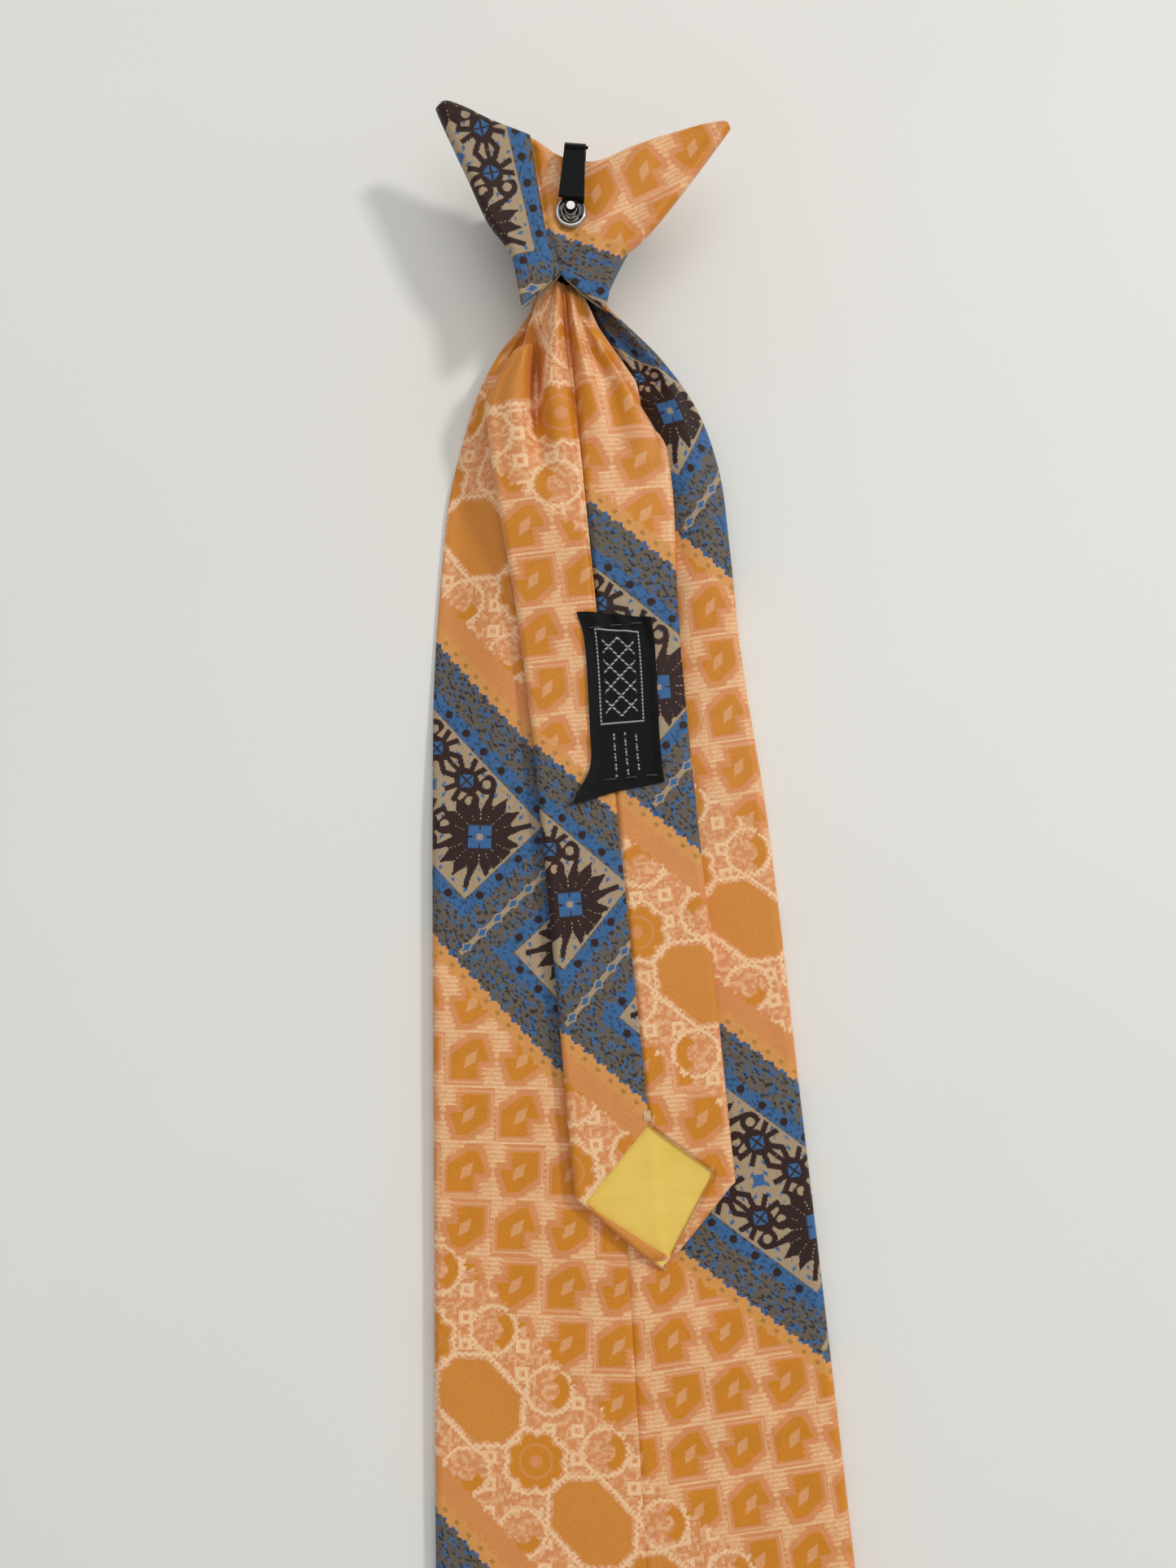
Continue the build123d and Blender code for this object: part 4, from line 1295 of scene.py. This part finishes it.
def label_sewing():
    """The stitches that hold the label's two ends."""
    lines = []
    for end in (-1, 1):
        for across in (-0.6, 0.0, 0.6):
            x = LABEL_CENTRE[0] + across * LABEL_HALF[0]
            y = LABEL_CENTRE[1] + end * (LABEL_HALF[1] - 2.4)
            z = float(tail_back(np.array([x]), y)[0]) + 1.1
            stitch = [(x - 1.4, y, z - 0.4), (x, y, z), (x + 1.4, y, z - 0.4)]
            lines.append(in_tail(np.array(stitch)))
    return strand("label_sewing", lines, LABEL_THREAD, black_thread)


label_thread_piece = label_sewing()


def knot_hems():
    """The turned edges of the two wraps, along the V over the throat."""
    top = KNOT_BACK - 1.0
    left = [(-9.3, -6.5, top), (-6.3, -3.7, top), (-3.6, -1.1, top + 0.3), (-1.6, 1.5, top + 0.5)]
    right = [(-1.2, 1.4, top - 0.2), (0.8, -0.2, top), (3.5, -2.4, top), (8.3, -5.5, top)]
    lines = [in_knot(np.array(line)) for line in (left, right)]
    return strand("knot_hems", lines, HEM_ROLL, hem_cloth)


hem_cloth = make_thread("hem_cloth", srgb(132, 114, 92))
knot_hem_piece = knot_hems()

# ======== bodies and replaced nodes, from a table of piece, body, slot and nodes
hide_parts("front_shell", "front_interlining")
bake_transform(front_cloth)
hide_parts("tail_shell", "tail_neck", "tail_interlining")
tail_start = in_tail(np.array([0.0, -2.0, 10.1])) * MM
tail_end = in_tail(np.array([0.0, -8.0, 10.1])) * MM
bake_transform(tail_cloth)

for piece, body, slot, nodes in (
    (front_lining, "front_blade", "lining", ["front_tipping"]),
    (tail_lining, "tail", "lining", ["tail_tipping"]),
    (front_stitches, "front_blade", "thread", ["front_slip_stitch"]),
    (tail_stitches, "tail", "thread", ["tail_slip_stitch"]),
    (front_tack, "front_blade", "thread", ["front_bar_tack"]),
    (tail_tack, "tail", "thread", ["tail_bar_tack"]),
    (label_piece, "tail", "label_cloth", ["label"]),
    (label_thread_piece, "tail", "label_thread", ["label_stitches"]),
    (knot_face, "knot", "face_cloth", ["knot_wrap", "knot_padding"]),
    (knot_form_piece, "knot", "form_plastic", ["knot_form"]),
    (knot_hem_piece, "knot", "face_cloth", []),
    (knot_left_wrap, "knot", "face_cloth", []),
    (knot_right_wrap, "knot", "face_cloth", []),
):
    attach(piece, body)
    if nodes:
        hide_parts(*nodes)

# ======== materials of the CAD nodes
enamel = make_enamel()
bright = make_metal(
    "bright_plate", srgb(176, 174, 170), srgb(214, 212, 208), rough=0.08, scale=240.0
)
steel = make_metal("plain_steel", srgb(140, 140, 144), srgb(184, 184, 188), rough=0.3, scale=700.0)
for material, names in (
    (enamel, ("clip_base", "clip_arm")),
    (bright, ("clip_dish", "clip_ball", "dish_rivet")),
    (steel, ("rivet_washer",)),
):
    for name in names:
        wear(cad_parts[name], material)

# ======== camera, light and floor
LENS, SENSOR = 28, 36      # mm
CAMERA_PLACE = (-0.00337, 0.08737, 0.27185)
CAMERA_TURN = (math.radians(4.0), 0, math.radians(-3.4))
FLOOR_SIDE, FLOOR_HEIGHT = 6, -0.0002
LIT_PLACE = (0, 0.08, 0)   # where the lamps are aimed
WARM = (1.0, 0.99, 0.97)
WORLD_STRENGTH = 0.42

camera_data = bpy.data.cameras.new("camera")
camera_data.lens = LENS
camera_data.sensor_width = SENSOR
camera_data.clip_start = 0.01
camera = add("camera", camera_data)
camera.location = CAMERA_PLACE
camera.rotation_euler = CAMERA_TURN
scene.camera = camera

bpy.ops.mesh.primitive_plane_add(size=FLOOR_SIDE, location=(0, 0, FLOOR_HEIGHT))
floor = bpy.context.object
floor.name = "floor"
wear(floor, make_floor_material())


def area_light(name, towards, distance, size, power, colour):
    """A soft lamp that shines on the tie from a direction."""
    data = bpy.data.lights.new(name, "AREA")
    data.size = size
    data.energy = power
    data.color = colour
    lamp = add(name, data)
    direction = Vector(towards).normalized()
    lamp.location = Vector(LIT_PLACE) + direction * distance
    lamp.rotation_euler = (-direction).to_track_quat("-Z", "Y").to_euler()


area_light(
    "key", towards=(15.6, 7.2, 16.5), distance=2.0, size=0.24, power=13.6, colour=(1.0, 0.995, 0.975)
)
area_light("fill", towards=(2, 7, 20), distance=1.5, size=1.3, power=5.9, colour=WARM)
world = bpy.data.worlds.new("soft_room")
world.use_nodes = True
background = world.node_tree.nodes["Background"]
background.inputs["Color"].default_value = (*WARM, 1)
background.inputs["Strength"].default_value = WORLD_STRENGTH
scene.world = world
scene.view_settings.view_transform = "Standard"
